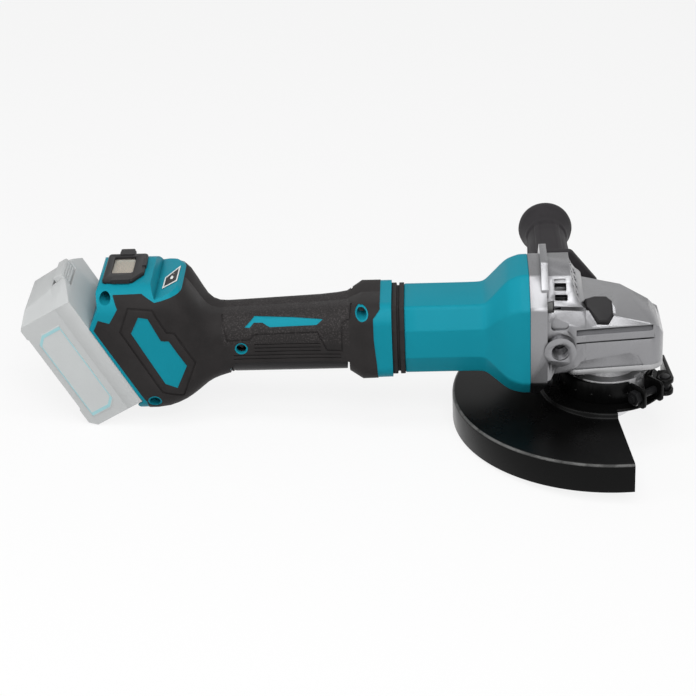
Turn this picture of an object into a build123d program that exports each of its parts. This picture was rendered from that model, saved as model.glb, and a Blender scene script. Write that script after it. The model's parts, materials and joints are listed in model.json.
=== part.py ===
import math
import os

from build123d import *

os.makedirs("parts", exist_ok=True)

# Cordless angle grinder for 230 mm wheels. Origin on the spindle axis at the wheel seat.
# +X runs to the nose, +Z is up and the spindle points down.

# Main sizes in millimetres
MOTOR_Z = 67
SPINDLE_THREAD_R = 7
FLANGE_X = -63
FLANGE_FRONT_X = -50
DUCT_END_X = -19.5
NOSE_X = 43
HEAD_FLOOR_Z = 45
HEAD_SHOULDER_Z = 81
HEAD_TOP_Z = 98
SIDE_SOCKET_X = -40
SIDE_SOCKET_Z = 66
GUARD_RADIUS = 125
GUARD_TOP_Z = 9
GUARD_DEPTH = 25
SHEET = 2
NECK_R = 35
MOTOR_BACK_X = -162
DAMPER_BACK_X = -172
SKIN = 1.6
WALL = 4.2
BATTERY_HALF = 40
RAIL_ANGLE = 61

# Bevel drive: teeth, outer pitch radius of the gear and face width
PINION_TEETH = 12
GEAR_TEETH = 38
GEAR_PITCH_R = 26
GEAR_FACE = 8

# Outlines across the tool, as (y, z) from the motor axis, right half from the top down
NARROW_HALF = [(22.5, 29.5), (30, 12), (30, -12), (22.5, -29.5)]
FLANGE_HALF = [(20, 54), (45, 36), (45, -30), (30, -46)]
DUCT_BACK = [(21, 53.5), (37.5, 35.5), (35, 30.5), (41.5, 23), (44, -28), (30, -45)]
DUCT_FRONT = [(19.5, 52.5), (33.5, 31.5), (31.6, 27.2), (36.8, 14.5), (36.8, -16), (24, -24)]

# Handle stations: x, half width, top, bottom, corner radius
HANDLE_STATIONS = [
    (-416, 41, 124, 14, 20),
    (-362, 41, 124, 14, 20),
    (-352, 40.5, 123.6, 15.3, 19.8),
    (-345, 39.4, 122, 17.5, 19.4),
    (-339, 38, 119, 20, 19),
    (-334, 36.3, 114.5, 22.8, 18.5),
    (-329.5, 34.3, 107.5, 25.7, 18),
    (-325, 32.1, 100, 28.8, 17.5),
    (-321, 30, 94, 31.5, 17),
    (-316.5, 28.2, 90.2, 33.7, 16.5),
    (-311, 26.6, 88.6, 35.4, 16.2),
    (-304, 25.5, 88.6, 37.2, 16),
    (-292, 25, 89.3, 38.8, 16),
    (-256, 25, 91, 39, 16),
    (-230, 25.5, 92, 39, 16),
    (-216, 26.2, 93, 39, 16),
    (-208, 27, 94, 39, 16),
]
FRONT_STATIONS = [
    (-208, 27, 94, 39, 16),
    (-196, 32.5, 99.5, 34, 14),
    (-172, 32.5, 99.5, 34.5, 14),
]


def across(x, z=MOTOR_Z):
    return Plane(origin=(x, 0, z), x_dir=(0, 1, 0), z_dir=(1, 0, 0))


def full_outline(half, inset=0):
    right = [(y - inset, z - inset if z > 0 else z + inset) for y, z in half]
    left = [(-y, z) for y, z in reversed(right)]
    return right + left


def at_angle(radius, degrees, z=0):
    turn = math.radians(degrees)
    return (radius * math.cos(turn), radius * math.sin(turn), z)


# Battery interface: u runs down the rails, w points out of the tool
RAIL = math.radians(RAIL_ANGLE)
RAIL_DOWN = (math.cos(RAIL), 0, -math.sin(RAIL))
RAIL_OUT = (-math.sin(RAIL), 0, -math.cos(RAIL))
RAIL_ORIGIN = (-391.9, 0, 60.5)


def rail_plane(w=0):
    origin = tuple(o + w * n for o, n in zip(RAIL_ORIGIN, RAIL_OUT))
    return Plane(origin=origin, x_dir=RAIL_DOWN, z_dir=RAIL_OUT)


# Shaft lock: the button slides along the normal of the head's right shoulder
LOCK_PLANE = Plane(origin=(-9, -25, 89.9), x_dir=(1, 0, 0), z_dir=(0, -0.6428, 0.766))
BUTTON_POINTS = [
    (-11, 9), (-10.5, 1.5), (-7.5, -1.5), (-1, -11), (7, -11), (11, -5), (10.5, 7), (6, 11), (-3, 11.3),
]


def head_outline(inset=0):
    points = [(-50, -40), (NOSE_X, -30), (NOSE_X, 30), (-50, 40)]
    return [(x - inset if x > 0 else x, y - inset if y > 0 else y + inset) for x, y in points]


# Side walls of the head: direction along the wall and outward normal, for the right (-1) and left (1)
def wall_along(side):
    return (0.9943, -side * 0.1069, 0)


def wall_plane(side):
    return Plane(origin=(-3.5, side * 35, 0), x_dir=wall_along(side), z_dir=(0.1069, side * 0.9943, 0))


# Gear housing: flange, air duct block, tapered head with sloped shoulders, sockets and vents
with BuildPart() as gear_housing:
    with BuildSketch(Plane.XY.offset(HEAD_FLOOR_Z)) as head_low:
        Polygon(*head_outline(), align=None)
        fillet(head_low.vertices().group_by(Axis.X)[-1], 14)
    extrude(amount=HEAD_SHOULDER_Z - HEAD_FLOOR_Z)
    with BuildSketch(Plane.XY.offset(HEAD_SHOULDER_Z)) as head_high:
        Polygon(*head_outline(), align=None)
        fillet(head_high.vertices().group_by(Axis.X)[-1], 14)
    extrude(amount=HEAD_TOP_Z - HEAD_SHOULDER_Z, taper=25)
    # top slope and nose slope, and the cut corner on the left
    with BuildSketch(Plane.XZ) as top_slope:
        Polygon(
            (-20, 94.5), (33, 81.8), (38.5, 77.5), (NOSE_X, 67), (70, 67), (70, 140), (-20, 140), align=None,
        )
    extrude(amount=60, both=True, mode=Mode.SUBTRACT)
    with BuildSketch(Plane.XY.offset(70)) as left_corner:
        Polygon((6, 36), (46, 2), (70, 2), (70, 60), (6, 60), align=None)
    extrude(amount=40, mode=Mode.SUBTRACT)
    # air duct block, with a hollow front that runs down to the head
    with BuildSketch(across(FLANGE_FRONT_X)):
        Polygon(*full_outline(DUCT_BACK), align=None)
    with BuildSketch(across(DUCT_END_X)):
        Polygon(*full_outline(DUCT_FRONT), align=None)
    loft(ruled=True)
    with BuildSketch(Plane.XZ) as duct_front:
        Polygon(
            (-31, 140), (-31, 121.5), (-29.6, 114), (-27.2, 107), (-23.8, 101), (-19, 96.5), (-10, 96.5),
            (-10, 140), align=None,
        )
    extrude(amount=60, both=True, mode=Mode.SUBTRACT)
    # flange, crowned hump and rib
    with BuildSketch(across(FLANGE_X)) as flange_face:
        Polygon(*full_outline(FLANGE_HALF), align=None)
        fillet(flange_face.vertices(), 5)
    extrude(amount=FLANGE_FRONT_X - FLANGE_X)
    with BuildSketch(across(FLANGE_FRONT_X)):
        Polygon(
            (-19.8, 45), (-19.8, 53.2), (-12.3, 57.7), (12.3, 57.7), (19.8, 53.2), (19.8, 45), align=None,
        )
    extrude(amount=19)
    with BuildSketch(across(-54)) as rib_face:
        Polygon((-33, 40), (-33, 47), (-17, 64), (17, 64), (33, 47), (33, 40), align=None)
        fillet(rib_face.vertices().group_by(Axis.Y)[-1], 6)
    extrude(amount=5.5)
    # raised seat round the shaft lock button
    with BuildSketch(LOCK_PLANE):
        Circle(13.5)
    extrude(amount=-16)
    # the block's underside rises to the head floor
    with BuildSketch(Plane.XZ) as under_slope:
        Polygon((-56, 10), (-56, 22), (-45, HEAD_FLOOR_Z), (-10, HEAD_FLOOR_Z), (-10, 10), align=None)
    extrude(amount=60, both=True, mode=Mode.SUBTRACT)
    # side handle bosses
    with BuildSketch(Plane.XZ.offset(-47)) as boss_rings:
        with Locations((SIDE_SOCKET_X, SIDE_SOCKET_Z)):
            Circle(12.5)
    extrude(amount=94)
    for side in (-1, 1):
        # groove under the shoulder, facing down
        groove_start = Plane(origin=(-27, side * 37.53, 0), x_dir=(0, 0, 1), z_dir=wall_along(side))
        with BuildSketch(groove_start):
            Polygon((75.6, 0), (75.6, -side * 4), (80.6, -side * 4), (80.6, side * 3.2), align=None)
        extrude(amount=61, mode=Mode.SUBTRACT)
        # fine line along the wall and up to the duct block
        with BuildSketch(groove_start):
            Polygon((68.3, side * 1.2), (68.3, -side * 4), (69.7, -side * 4), (69.7, side * 1.2), align=None)
        extrude(amount=66, mode=Mode.SUBTRACT)
        with BuildSketch(Plane.XZ.offset(-side * 50)):
            Polygon((-26.2, 68.3), (-25.2, 69.5), (-33.3, 81), (-34.3, 80), align=None)
        extrude(amount=side * 11.6, mode=Mode.SUBTRACT)
        # scooped pocket between shoulder and boss
        with BuildSketch(Plane.XZ.offset(-side * 50)):
            with Locations((-40, 86.8)):
                RectangleRounded(14, 9.4, 3.4)
        extrude(amount=side * 12, mode=Mode.SUBTRACT)
        # shallow panel above the bearing box
        with BuildSketch(wall_plane(side).offset(3)) as low_panel:
            Polygon(
                (-26, -side * 44), (-20, -side * 52.5), (18.6, -side * 57), (25.6, -side * 54.5),
                (31, -side * 44), align=None,
            )
            fillet(low_panel.vertices().group_by(Axis.Y)[-1 if side < 0 else 0], 4)
        extrude(amount=-3.9, mode=Mode.SUBTRACT)
    # gear room, pinion tunnel, front bearing seat and fan side room
    with BuildSketch(Plane.XY.offset(HEAD_FLOOR_Z)):
        Circle(29.5)
    extrude(amount=29, mode=Mode.SUBTRACT)
    with BuildSketch(across(FLANGE_X)):
        Circle(16)
    extrude(amount=27, mode=Mode.SUBTRACT)
    with BuildSketch(across(FLANGE_X)):
        Circle(12.5)
    extrude(amount=49, mode=Mode.SUBTRACT)
    with BuildSketch(across(FLANGE_X)) as fan_room:
        Polygon(*full_outline(FLANGE_HALF, 6), align=None)
        fillet(fan_room.vertices(), 4)
        Circle(20, mode=Mode.SUBTRACT)
    extrude(amount=10, mode=Mode.SUBTRACT)
    # seat of the needle bearing
    with BuildSketch(Plane.XY.offset(73)):
        Circle(8)
    extrude(amount=9.5, mode=Mode.SUBTRACT)
    # side handle sockets
    with BuildSketch(Plane.XZ.offset(-48)):
        with Locations((SIDE_SOCKET_X, SIDE_SOCKET_Z)):
            Circle(SPINDLE_THREAD_R)
    extrude(amount=22, mode=Mode.SUBTRACT)
    with BuildSketch(Plane.XZ.offset(48)):
        with Locations((SIDE_SOCKET_X, SIDE_SOCKET_Z)):
            Circle(SPINDLE_THREAD_R)
    extrude(amount=-22, mode=Mode.SUBTRACT)
    # air duct from the fan room, and the windows that it opens into
    with BuildSketch(across(FLANGE_X)):
        with Locations((0, 33)):
            Rectangle(48, 12)
    extrude(amount=30, mode=Mode.SUBTRACT)
    for side in (-1, 1):
        shoulder = Plane(origin=(-40, side * 28.3, 110.8), x_dir=(1, 0, 0), z_dir=(0, side * 0.775, 0.632))
        with BuildSketch(shoulder.offset(4)):
            with Locations((0.9, -side * 3.1)):
                RectangleRounded(9.4, 6.2, 0.8)
            with Locations((1.4, side * 5.5)):
                RectangleRounded(10, 4.8, 0.8)
        extrude(amount=-18, mode=Mode.SUBTRACT)
        with BuildSketch(shoulder.offset(4)):
            with Locations((0.6, -side * 8.5)):
                RectangleRounded(8.8, 2, 0.6)
        extrude(amount=-5.6, mode=Mode.SUBTRACT)
    # louvres in the hollow front
    front_slope = Plane(origin=(-26.7, 0, 107.5), x_dir=(0, 1, 0), z_dir=(0.915, 0, 0.408))
    with BuildSketch(front_slope.offset(4)):
        with Locations((-19.5, 4.2), (-6.5, 4.2), (6.5, 4.2), (19.5, 4.2)):
            RectangleRounded(9, 4.6, 0.8)
        with Locations((-19.5, -3.6), (-6.5, -3.6), (6.5, -3.6), (19.5, -3.6)):
            RectangleRounded(9, 4.6, 0.8)
    extrude(amount=-14, mode=Mode.SUBTRACT)
    # bores of the block screws and the bearing box screws
    for y, z in [(33, 33), (-33, 33), (33, -33), (-33, -33)]:
        with BuildSketch(across(FLANGE_X)):
            with Locations((y, z)):
                Circle(2.6)
        extrude(amount=24, mode=Mode.SUBTRACT)
        with BuildSketch(across(FLANGE_FRONT_X)):
            with Locations((y, z)):
                Circle(5.2)
        extrude(amount=5.5 if z > 0 else 30, mode=Mode.SUBTRACT)
    with BuildSketch(Plane.XY.offset(HEAD_FLOOR_Z)):
        with Locations((29, 20.5), (29, -20.5), (-25, 28.5), (-25, -28.5)):
            Circle(2.5)
    extrude(amount=16, mode=Mode.SUBTRACT)
    # bore and pocket of the shaft lock
    with BuildSketch(LOCK_PLANE):
        Circle(3.1)
    extrude(amount=-30, mode=Mode.SUBTRACT)
    with BuildSketch(LOCK_PLANE):
        Circle(5.6)
    extrude(amount=-7, mode=Mode.SUBTRACT)
    with BuildSketch(LOCK_PLANE.offset(8)) as button_pocket:
        Polygon(*BUTTON_POINTS, align=None)
        offset(amount=0.5)
    extrude(amount=-12.8, mode=Mode.SUBTRACT)
gear_housing.part.label = "gear_housing"
export_step(gear_housing.part, "parts/gear_housing.step")

# Bearing box: plate under the gear room, neck and guard seat
with BuildPart() as bearing_box:
    with BuildSketch(Plane.XY.offset(40.5)) as plate_face:
        Polygon((-34, -38.2), (NOSE_X, -30), (NOSE_X, 30), (-34, 38.2), align=None)
        fillet(plate_face.vertices().group_by(Axis.X)[-1], 14)
        fillet(plate_face.vertices().group_by(Axis.X)[0], 8)
    extrude(amount=HEAD_FLOOR_Z - 40.5)
    with BuildSketch(Plane.XY.offset(32)):
        Circle(26)
    extrude(amount=8.5)
    with BuildSketch(Plane.XY.offset(13)):
        Circle(NECK_R)
    extrude(amount=19)
    with BuildSketch(Plane.XY.offset(13)):
        Circle(12)
    extrude(amount=12, mode=Mode.SUBTRACT)
    with BuildSketch(Plane.XY.offset(25)):
        Circle(20)
    extrude(amount=12, mode=Mode.SUBTRACT)
    with BuildSketch(Plane.XY.offset(37)):
        Circle(17.5)
    extrude(amount=8, mode=Mode.SUBTRACT)
    with BuildSketch(Plane.XY.offset(40.5)):
        with Locations((29, 20.5), (29, -20.5), (-25, 28.5), (-25, -28.5)):
            Circle(2.7)
    extrude(amount=4.5, mode=Mode.SUBTRACT)
    with BuildSketch(Plane.XY.offset(32)) as key_slots:
        with PolarLocations(NECK_R, 4, start_angle=45):
            Rectangle(6, 9)
    extrude(amount=-4, mode=Mode.SUBTRACT)
bearing_box.part.label = "bearing_box"
export_step(bearing_box.part, "parts/bearing_box.step")

# Four screws that hold the bearing box
with BuildPart() as bearing_box_screws:
    with BuildSketch(Plane.XY.offset(36.5)):
        with Locations((29, 20.5), (29, -20.5), (-25, 28.5), (-25, -28.5)):
            Circle(4.2)
    extrude(amount=4)
    with BuildSketch(Plane.XY.offset(40.5)):
        with Locations((29, 20.5), (29, -20.5), (-25, 28.5), (-25, -28.5)):
            Circle(2.5)
    extrude(amount=18)
    with BuildSketch(Plane.XY.offset(36.5)):
        with Locations((29, 20.5), (29, -20.5), (-25, 28.5), (-25, -28.5)):
            RegularPolygon(2.3, 6)
    extrude(amount=2.4, mode=Mode.SUBTRACT)
bearing_box_screws.part.label = "bearing_box_screws"
export_step(bearing_box_screws.part, "parts/bearing_box_screws.step")

# Spindle
with BuildPart() as spindle:
    with BuildSketch(Plane.XZ):
        Polygon(
            (0, -15), (6, -15), (7, -14), (7, 11.8), (8.5, 11.8), (8.5, 48), (8, 48), (8, 62), (5.95, 62),
            (5.95, 80.9), (5.2, 81.6), (0, 81.6), align=None,
        )
    revolve(axis=Axis.Z)
    # hexagon socket in the free end
    with BuildSketch(Plane.XY.offset(-15)):
        RegularPolygon(3, 6)
    extrude(amount=4, mode=Mode.SUBTRACT)
spindle.part.label = "spindle"
export_step(spindle.part, "parts/spindle.step")

# Bevel teeth: virtual spur profile on the cone element, tapering to the shared apex
CONE = math.atan2(GEAR_TEETH, PINION_TEETH)
CONE_LENGTH = GEAR_PITCH_R / math.sin(CONE)
MODULE = 2 * GEAR_PITCH_R / GEAR_TEETH
PINION_PITCH_R = MODULE * PINION_TEETH / 2
TAPER = (CONE_LENGTH - GEAR_FACE) / CONE_LENGTH


def tooth_outline(pitch_r, root_drop, tip_rise, thinning):
    pressure = math.radians(20)
    base_r = pitch_r * math.cos(pressure)

    def half_angle(r):
        roll = math.acos(min(1, base_r / max(r, base_r)))
        start = math.pi * MODULE / 4 / pitch_r - thinning / pitch_r
        return start + (math.tan(pressure) - pressure) - (math.tan(roll) - roll)

    radii = [pitch_r - root_drop + (root_drop + tip_rise) * i / 6 for i in range(7)]
    right = [(r * math.sin(half_angle(r)), r * math.cos(half_angle(r)) - pitch_r) for r in radii]
    left = [(-x, y) for x, y in reversed(right)]
    return right + left


# One tooth of the gear, on the element that runs to -X
with BuildPart() as gear_tooth:
    for share in (1, TAPER):
        spot = (-GEAR_PITCH_R * share, 0, MOTOR_Z - PINION_PITCH_R * share)
        along = (-math.sin(CONE), 0, -math.cos(CONE))
        with BuildSketch(Plane(origin=spot, x_dir=(0, -1, 0), z_dir=along)):
            points = tooth_outline(GEAR_PITCH_R / math.cos(CONE), 1.6 * MODULE, 0.7 * MODULE, 0.1)
            Polygon(*[(x * share, y * share) for x, y in points], align=None)
    loft(ruled=True)

# Path of the shaft lock pin into the gear hub
with BuildPart() as lock_path:
    with BuildSketch(Plane(origin=(-9, -8.3, 70), x_dir=(1, 0, 0), z_dir=(0, 0.6428, -0.766))):
        Circle(3.4)
    extrude(amount=9)

# Crown gear on the spindle, with four notches for the shaft lock pin
with BuildPart() as bevel_gear:
    with BuildSketch(Plane.XZ):
        Polygon(
            (8, 48), (15, 48), (27, 52.5), (27.3, 55.6), (25.6, 57.1), (17.9, 59.6), (14.5, 60), (14.5, 65),
            (8, 65), align=None,
        )
    revolve(axis=Axis.Z)
    with PolarLocations(0, GEAR_TEETH, start_angle=180 / GEAR_TEETH):
        add(gear_tooth.part)
    with PolarLocations(0, 4):
        add(lock_path.part, mode=Mode.SUBTRACT)
bevel_gear.part.label = "bevel_gear"
export_step(bevel_gear.part, "parts/bevel_gear.step")

# One tooth of the pinion, on its lowest element
with BuildPart() as pinion_tooth:
    for share in (1, TAPER):
        spot = (-GEAR_PITCH_R * share, 0, MOTOR_Z - PINION_PITCH_R * share)
        along = (-math.sin(CONE), 0, -math.cos(CONE))
        with BuildSketch(Plane(origin=spot, x_dir=(0, -1, 0), z_dir=along)):
            points = tooth_outline(PINION_PITCH_R / math.sin(CONE), 0.95 * MODULE, MODULE, 0.1)
            Polygon(*[(x * share, -y * share) for x, y in points], align=None)
    loft(ruled=True)

# Pinion on the rotor shaft
with BuildPart() as pinion:
    root_out = PINION_PITCH_R - 0.85 * MODULE
    with BuildSketch(Plane.XZ):
        with Locations((0, MOTOR_Z)):
            Polygon(
                (-36.5, 0), (-36.5, 7.5), (-27, 7.5), (-26.2, root_out),
                (-18.6, root_out * TAPER), (-18.6, 0), align=None,
            )
    revolve(axis=Axis((0, 0, MOTOR_Z), (1, 0, 0)))
    for number in range(PINION_TEETH):
        add(pinion_tooth.part.rotate(Axis((0, 0, MOTOR_Z), (1, 0, 0)), 360 / PINION_TEETH * number))
pinion.part.label = "pinion"
export_step(pinion.part, "parts/pinion.step")

# Rotor: shaft and magnet core
with BuildPart() as rotor:
    with BuildSketch(Plane.XZ):
        with Locations((0, MOTOR_Z)):
            Polygon(
                (-159, 0), (-159, 5), (-149, 5), (-149, 6), (-146, 6), (-146, 17.5), (-112, 17.5), (-112, 6),
                (-36.5, 6), (-36.5, 0), align=None,
            )
    revolve(axis=Axis((0, 0, MOTOR_Z), (1, 0, 0)))
rotor.part.label = "rotor"
export_step(rotor.part, "parts/rotor.step")

# Cooling fan on the rotor shaft
with BuildPart() as fan:
    with BuildSketch(across(-82)):
        Circle(35)
        Circle(6, mode=Mode.SUBTRACT)
    extrude(amount=2)
    with BuildSketch(across(-82)):
        Circle(10)
        Circle(6, mode=Mode.SUBTRACT)
    extrude(amount=12)
    with BuildSketch(across(-80)):
        with PolarLocations(23, 17):
            Rectangle(22, 1.6, rotation=24)
    extrude(amount=9)
fan.part.label = "fan"
export_step(fan.part, "parts/fan.step")

# Stator core with wound poles
with BuildPart() as stator:
    with BuildSketch(across(-146)):
        Circle(26.5)
        Circle(22.5, mode=Mode.SUBTRACT)
        with PolarLocations(20.8, 6):
            Rectangle(4.6, 8)
        Circle(18.2, mode=Mode.SUBTRACT)
    extrude(amount=34)
stator.part.label = "stator"
export_step(stator.part, "parts/stator.step")

# Copper windings round the stator poles
with BuildPart() as stator_windings:
    with BuildSketch(across(-149)):
        with PolarLocations(20.2, 6):
            RectangleRounded(2.9, 11.6, 1.2)
            Rectangle(4.6, 8.1, mode=Mode.SUBTRACT)
    extrude(amount=40)
    with BuildSketch(across(-149)):
        Circle(22.4)
        Circle(18.6, mode=Mode.SUBTRACT)
    extrude(amount=2.8)
    with BuildSketch(across(-111.8)):
        Circle(22.4)
        Circle(18.6, mode=Mode.SUBTRACT)
    extrude(amount=2.8)
stator_windings.part.label = "stator_windings"
export_step(stator_windings.part, "parts/stator_windings.step")


def ball_bearing(plane, bore_r, outer_r, width):
    middle = (bore_r + outer_r) / 2
    land = (outer_r - bore_r) * 0.3
    with BuildPart() as bearing:
        with BuildSketch(plane):
            Circle(outer_r)
            Circle(outer_r - land, mode=Mode.SUBTRACT)
        extrude(amount=width)
        with BuildSketch(plane):
            Circle(bore_r + land)
            Circle(bore_r, mode=Mode.SUBTRACT)
        extrude(amount=width)
        with BuildSketch(plane.offset(width * 0.12)):
            Circle(outer_r - land)
            Circle(bore_r + land, mode=Mode.SUBTRACT)
        extrude(amount=width * 0.76)
        with BuildSketch(plane):
            Circle(middle + 0.3)
            Circle(middle - 0.3, mode=Mode.SUBTRACT)
        extrude(amount=width * 0.3, mode=Mode.SUBTRACT)
    return bearing.part


# Bearings of the rotor and the spindle
rotor_front_bearing = ball_bearing(across(-47), 6.03, 16, 10)
rotor_front_bearing.label = "rotor_front_bearing"
export_step(rotor_front_bearing, "parts/rotor_front_bearing.step")
rotor_rear_bearing = ball_bearing(across(-158), 5.03, 13, 8)
rotor_rear_bearing.label = "rotor_rear_bearing"
export_step(rotor_rear_bearing, "parts/rotor_rear_bearing.step")
spindle_bearing = ball_bearing(Plane.XY.offset(25), 8.53, 20, 12)
spindle_bearing.label = "spindle_bearing"
export_step(spindle_bearing, "parts/spindle_bearing.step")
with BuildPart() as needle_bearing:
    with BuildSketch(Plane.XY.offset(73.5)):
        Circle(8)
        Circle(6, mode=Mode.SUBTRACT)
    extrude(amount=9)
needle_bearing.part.label = "needle_bearing"
export_step(needle_bearing.part, "parts/needle_bearing.step")

# Seal under the spindle bearing
with BuildPart() as seal_ring:
    with BuildSketch(Plane.XY.offset(20)):
        Circle(12)
        Circle(8.8, mode=Mode.SUBTRACT)
    extrude(amount=5)
seal_ring.part.label = "seal_ring"
export_step(seal_ring.part, "parts/seal_ring.step")

# Inner flange: wheel seat and 22.2 mm pilot
with BuildPart() as inner_flange:
    with BuildSketch(Plane.XZ):
        Polygon(
            (7, -4.5), (11.1, -4.5), (11.1, 0), (15, 0), (15, 0.4), (17.5, 0.4), (17.5, 0),
            (21, 0), (21, 4.5), (14, 8), (11.4, 8), (11.4, 11.8), (7, 11.8), align=None,
        )
    revolve(axis=Axis.Z)
inner_flange.part.label = "inner_flange"
export_step(inner_flange.part, "parts/inner_flange.step")

# Lock nut with pin wrench holes
with BuildPart() as lock_nut:
    with BuildSketch(Plane.XZ):
        Polygon(
            (7.06, -13.2), (12, -13.2), (12, -10), (20, -9), (20, -5.2), (7.06, -5.2), align=None,
        )
    revolve(axis=Axis.Z)
    with BuildSketch(Plane.XY.offset(-13.5)):
        with PolarLocations(16, 4):
            Circle(2.6)
    extrude(amount=7, mode=Mode.SUBTRACT)
lock_nut.part.label = "lock_nut"
export_step(lock_nut.part, "parts/lock_nut.step")

# Shaft lock: button cap over a locking pin
with BuildPart() as shaft_lock_button:
    with BuildSketch(LOCK_PLANE) as cap_face:
        Polygon(*BUTTON_POINTS, align=None)
        fillet(cap_face.vertices(), 1.5)
    extrude(amount=6.5)
    press_axis = Axis(LOCK_PLANE.origin, LOCK_PLANE.z_dir)
    chamfer(shaft_lock_button.faces().sort_by(press_axis)[-1].edges(), 1.4)
    with BuildSketch(LOCK_PLANE):
        Circle(2.9)
    extrude(amount=-26)
shaft_lock_button.part.label = "shaft_lock_button"
export_step(shaft_lock_button.part, "parts/shaft_lock_button.step")

# Spring under the button
with BuildPart() as shaft_lock_spring:
    with BuildLine() as coil:
        Helix(
            pitch=1.6, height=5.7, radius=4.3,
            center=LOCK_PLANE.offset(-6.4).origin, direction=LOCK_PLANE.z_dir,
        )
    with BuildSketch(Plane(origin=coil.line @ 0, z_dir=coil.line % 0)):
        Circle(0.45)
    sweep()
shaft_lock_spring.part.label = "shaft_lock_spring"
export_step(shaft_lock_spring.part, "parts/shaft_lock_spring.step")

# Motor housing: faceted barrel flaring to the gear housing flange
with BuildPart() as motor_housing:
    with BuildSketch(across(MOTOR_BACK_X)) as barrel_face:
        Polygon(*full_outline(NARROW_HALF), align=None)
        fillet(barrel_face.vertices(), 4)
    extrude(amount=62)
    with BuildSketch(across(-100)) as flare_small:
        Polygon(*full_outline(NARROW_HALF), align=None)
        fillet(flare_small.vertices(), 4)
    with BuildSketch(across(-80)) as flare_large:
        Polygon(*full_outline(FLANGE_HALF, 0.8), align=None)
        fillet(flare_large.vertices(), 5)
    with BuildSketch(across(FLANGE_X)) as flange_face:
        Polygon(*full_outline(FLANGE_HALF), align=None)
        fillet(flange_face.vertices(), 5)
    loft(ruled=True)
    # stator bore, fan room and rear bearing seat
    with BuildSketch(across(-150)):
        Circle(26.6)
    extrude(amount=50, mode=Mode.SUBTRACT)
    with BuildSketch(across(-100)):
        Circle(26.6)
    with BuildSketch(across(-82)):
        Circle(37)
    loft(mode=Mode.SUBTRACT)
    with BuildSketch(across(-82)):
        Circle(37)
    extrude(amount=19, mode=Mode.SUBTRACT)
    with BuildSketch(across(-158)):
        Circle(13)
    extrude(amount=10, mode=Mode.SUBTRACT)
    with BuildSketch(across(-162)):
        Circle(7)
    extrude(amount=8, mode=Mode.SUBTRACT)
    with BuildSketch(across(-162)):
        with PolarLocations(20, 8):
            Circle(4)
    extrude(amount=14, mode=Mode.SUBTRACT)
    with BuildSketch(across(FLANGE_X)):
        with Locations((33, 33), (-33, 33), (33, -33), (-33, -33)):
            Circle(2.5)
    extrude(amount=-16, mode=Mode.SUBTRACT)
motor_housing.part.label = "motor_housing"
export_step(motor_housing.part, "parts/motor_housing.step")

# Screws through the flange block into the motor housing
with BuildPart() as gear_housing_screws:
    with BuildSketch(across(-76)):
        with Locations((33, 33), (-33, 33), (33, -33), (-33, -33)):
            Circle(2.5)
    extrude(amount=26)
    with BuildSketch(across(FLANGE_FRONT_X)):
        with Locations((33, 33), (-33, 33), (33, -33), (-33, -33)):
            Circle(4.6)
    extrude(amount=4.5)
    with BuildSketch(across(FLANGE_FRONT_X + 4.5)):
        with Locations((33, 33), (-33, 33), (33, -33), (-33, -33)):
            RegularPolygon(2.4, 6)
    extrude(amount=-2.5, mode=Mode.SUBTRACT)
gear_housing_screws.part.label = "gear_housing_screws"
export_step(gear_housing_screws.part, "parts/gear_housing_screws.step")

# Baffle plate that keeps the fan air and the grease apart
with BuildPart() as baffle_plate:
    with BuildSketch(across(-63)) as baffle_face:
        Polygon(*full_outline(FLANGE_HALF, 6.3), align=None)
        fillet(baffle_face.vertices(), 4)
        Circle(20.2, mode=Mode.SUBTRACT)
        with Locations((33, 33), (-33, 33), (33, -33), (-33, -33)):
            Circle(6.5, mode=Mode.SUBTRACT)
        with PolarLocations(29, 10):
            Circle(4, mode=Mode.SUBTRACT)
    extrude(amount=1.6)
baffle_plate.part.label = "baffle_plate"
export_step(baffle_plate.part, "parts/baffle_plate.step")

# Rubber damper between motor and handle, with a waist groove
with BuildPart() as damper_ring:
    with BuildSketch(across(DAMPER_BACK_X)) as damper_face:
        Polygon(*full_outline(NARROW_HALF, -0.8), align=None)
        fillet(damper_face.vertices(), 5)
    extrude(amount=10)
    with BuildSketch(across(-167.9)) as groove_face:
        Polygon(*full_outline(NARROW_HALF, -6), align=None)
        Polygon(*full_outline(NARROW_HALF, 1.4), align=None, mode=Mode.SUBTRACT)
    extrude(amount=2, mode=Mode.SUBTRACT)
    with BuildSketch(across(DAMPER_BACK_X)):
        Circle(20)
    extrude(amount=10, mode=Mode.SUBTRACT)
damper_ring.part.label = "damper_ring"
export_step(damper_ring.part, "parts/damper_ring.step")

# Wheel guard: half-round plate with a raised ring round the neck
GUARD_START = 96
GUARD_SWEEP = 180
SKIRT_INNER_R = GUARD_RADIUS - 4
GUARD_LOW_Z = GUARD_TOP_Z - GUARD_DEPTH
guard_end = Plane(
    origin=(0, 0, 0),
    x_dir=at_angle(1, GUARD_START),
    z_dir=at_angle(1, GUARD_START - 90),
)
with BuildPart() as wheel_guard:
    with BuildSketch(guard_end):
        Polygon(
            (35.5, GUARD_TOP_Z - SHEET), (SKIRT_INNER_R, GUARD_TOP_Z - SHEET), (SKIRT_INNER_R, GUARD_TOP_Z),
            (56, GUARD_TOP_Z), (51, GUARD_TOP_Z + 4), (35.5, GUARD_TOP_Z + 4), align=None,
        )
    revolve(axis=Axis.Z, revolution_arc=GUARD_SWEEP)
    with BuildSketch(Plane.XY.offset(GUARD_TOP_Z + 2)):
        Circle(47)
        Circle(35.5, mode=Mode.SUBTRACT)
    extrude(amount=2)
    with BuildSketch(Plane.XY.offset(GUARD_TOP_Z)):
        Circle(40)
        Circle(35.5, mode=Mode.SUBTRACT)
    extrude(amount=2)
wheel_guard.part.label = "wheel_guard"
export_step(wheel_guard.part, "parts/wheel_guard.step")

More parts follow.
